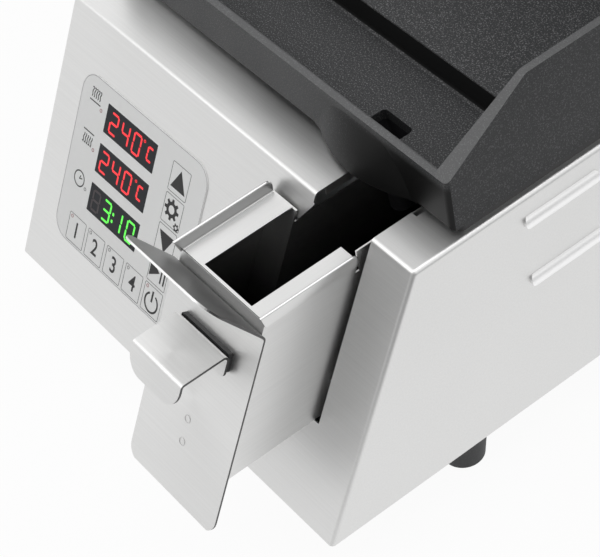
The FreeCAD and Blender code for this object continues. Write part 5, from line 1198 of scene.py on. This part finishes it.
class GRILL_OT_displays(bpy.types.Operator):
    """Light the segments of the three displays"""
    bl_idname = "grill.displays"
    bl_label = "Displays"
    LIT = {"0": "abcdef", "1": "bc", "2": "abged", "3": "abgcd", "4": "fgbc", "8": "abcdefg", "C": "afed"}
    # Signs and their places in millimetres from the displays' left edge; the letter has a drop and a scale.
    TEMPERATURE = (("2", 3.4), ("4", 15.0), ("0", 26.6))
    SCALE_SIGN = ("C", 40.8, 1.6, 0.66)
    DEGREE = {"Radius": 0.75 * MM, "Line": 0.45 * MM}
    DEGREE_PLACE = (38.2, 0.6)
    TIME = (("3", 14.6), ("1", 26.2), ("0", 38.6))
    COLON = ((24.6, 4.6), (24.6, 9.2))
    COLON_SIZE = (0.3, 1.35, 1.0)
    UNLIT = ("8", 3.4)
    BAR_GAP = 0.5 * MM
    LIFT = 0.05 * MM

    def execute(self, context):
        settings = context.scene.grill_keypad
        red = self.light("red_segments", settings.red, settings.glow)
        green = self.light("green_segments", settings.green, settings.glow)
        dark, _, _ = new_material("dark_segments", (0.03, 0.018, 0.022), 0.4)
        tops = [settings.window_top - i * settings.window_pitch - settings.digit_drop for i in range(3)]
        temperature = []
        for top in tops[:2]:
            for sign, left in self.TEMPERATURE:
                temperature += self.digit(settings, sign, left, top)
            sign, left, drop, scale = self.SCALE_SIGN
            temperature += self.digit(settings, sign, left, top - drop * MM, scale)
        self.place("temperature_digits", settings, temperature, red)
        right, drop = self.DEGREE_PLACE
        rings = [(settings.window_left + right * MM, top - drop * MM, 0.0) for top in tops[:2]]
        degree = grown("degree_signs", ring_tree(), rings, Material=red, **self.DEGREE)
        set_on_panel(degree, settings, settings.film + self.LIFT)
        time = []
        for sign, left in self.TIME:
            time += self.digit(settings, sign, left, tops[2])
        for right, drop in self.COLON:
            time.append((settings.window_left + right * MM, tops[2] - drop * MM, 0.0, self.COLON_SIZE))
        self.place("time_digits", settings, time, green)
        self.place("unlit_digit", settings, self.digit(settings, *self.UNLIT, tops[2]), dark)
        return {"FINISHED"}

    def light(self, name, colour, glow):
        """Material that glows in its colour."""
        material, _, shader = new_material(name, tuple(c * 0.25 for c in colour), 0.3)
        shader.inputs["Emission Color"].default_value = (*colour, 1.0)
        shader.inputs["Emission Strength"].default_value = glow
        return material

    def digit(self, settings, sign, left, top, scale=1.0):
        """One sign's bars: across, up the slope, turn and size."""
        wide, tall = settings.digit_width * scale, settings.digit_height / 2 * scale
        x0 = settings.window_left + left * MM
        x1 = x0 + wide
        middle = (x0 + x1) / 2
        where = {"a": (middle, top, 0), "g": (middle, top - tall, 0), "d": (middle, top - 2 * tall, 0),
                 "f": (x0, top - tall / 2, 1), "b": (x1, top - tall / 2, 1), "e": (x0, top - 1.5 * tall, 1),
                 "c": (x1, top - 1.5 * tall, 1)}
        bars = []
        for x, p, upright in (where[bar] for bar in self.LIT[sign]):
            reach = tall if upright else wide
            bars.append((x, p, math.pi / 2 * upright, (reach / (settings.digit_height / 2), 1.0, 1.0)))
        return bars

    def place(self, name, settings, bars, material):
        """Leans the bars' places, grows the bars and sets them on the panel."""
        base = min(p for _, p, _, _ in bars)
        slanted = [(x + (p - base) * settings.digit_slant, p, 0.0) for x, p, _, _ in bars]
        turns, sizes = [(0.0, 0.0, turn) for _, _, turn, _ in bars], [size for _, _, _, size in bars]
        obj = grown(name, segment_tree(), slanted, turns, sizes, Width=settings.segment, Material=material,
                    Length=settings.digit_height / 2 - self.BAR_GAP)
        set_on_panel(obj, settings, settings.film + self.LIFT)


class GRILL_OT_marks(bpy.types.Operator):
    """Add the spot welds on the drawer's front"""
    bl_idname = "grill.marks"
    bl_label = "Marks"
    WELD = {"Radius": 2.2 * MM, "Line": 0.45 * MM}
    WELD_LEVELS = (76.5 * MM, 62.0 * MM)
    ASIDE = 0.4 * MM
    LIFT = 0.05 * MM

    def execute(self, context):
        settings = context.scene.grill_keypad
        low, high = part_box("drawer_front")
        middle = (low.x + high.x) / 2 - self.ASIDE
        points = [(middle, level, 0.0) for level in self.WELD_LEVELS]
        steel = bpy.data.materials["stainless"]
        welds = grown("spot_welds", ring_tree(), points, Material=steel, **self.WELD)
        set_on_panel(welds, settings, self.LIFT, "drawer", forward=settings.drawer_out)
        return {"FINISHED"}


class GRILL_PT_panel(bpy.types.Panel):
    """Steps that dress the grill"""
    bl_label = "Contact grill"
    bl_space_type = "VIEW_3D"
    bl_region_type = "UI"
    bl_category = "Grill"

    def draw(self, context):
        for step in STEPS:
            self.layout.operator(step.bl_idname)


SETTINGS = {"grill_stage": StageSettings, "grill_steel": SteelSettings, "grill_enamel": EnamelSettings,
            "grill_rim": RimSettings, "grill_keypad": KeypadSettings}
STEPS = (GRILL_OT_stage, GRILL_OT_steel, GRILL_OT_castings, GRILL_OT_drain, GRILL_OT_rim, GRILL_OT_mouldings,
         GRILL_OT_keypad, GRILL_OT_displays, GRILL_OT_marks)


def register():
    for cls in (*SETTINGS.values(), *STEPS, GRILL_PT_panel):
        bpy.utils.register_class(cls)
    for name, cls in SETTINGS.items():
        setattr(bpy.types.Scene, name, PointerProperty(type=cls))


def unregister():
    for name in SETTINGS:
        delattr(bpy.types.Scene, name)
    for cls in (GRILL_PT_panel, *reversed(STEPS), *reversed(SETTINGS.values())):
        bpy.utils.unregister_class(cls)


def main():
    register()
    for step in STEPS:
        group, name = step.bl_idname.split(".")
        if getattr(getattr(bpy.ops, group), name)() != {"FINISHED"}:
            raise RuntimeError(f"{step.bl_idname} didn't finish")


if __name__ == "__main__":
    main()
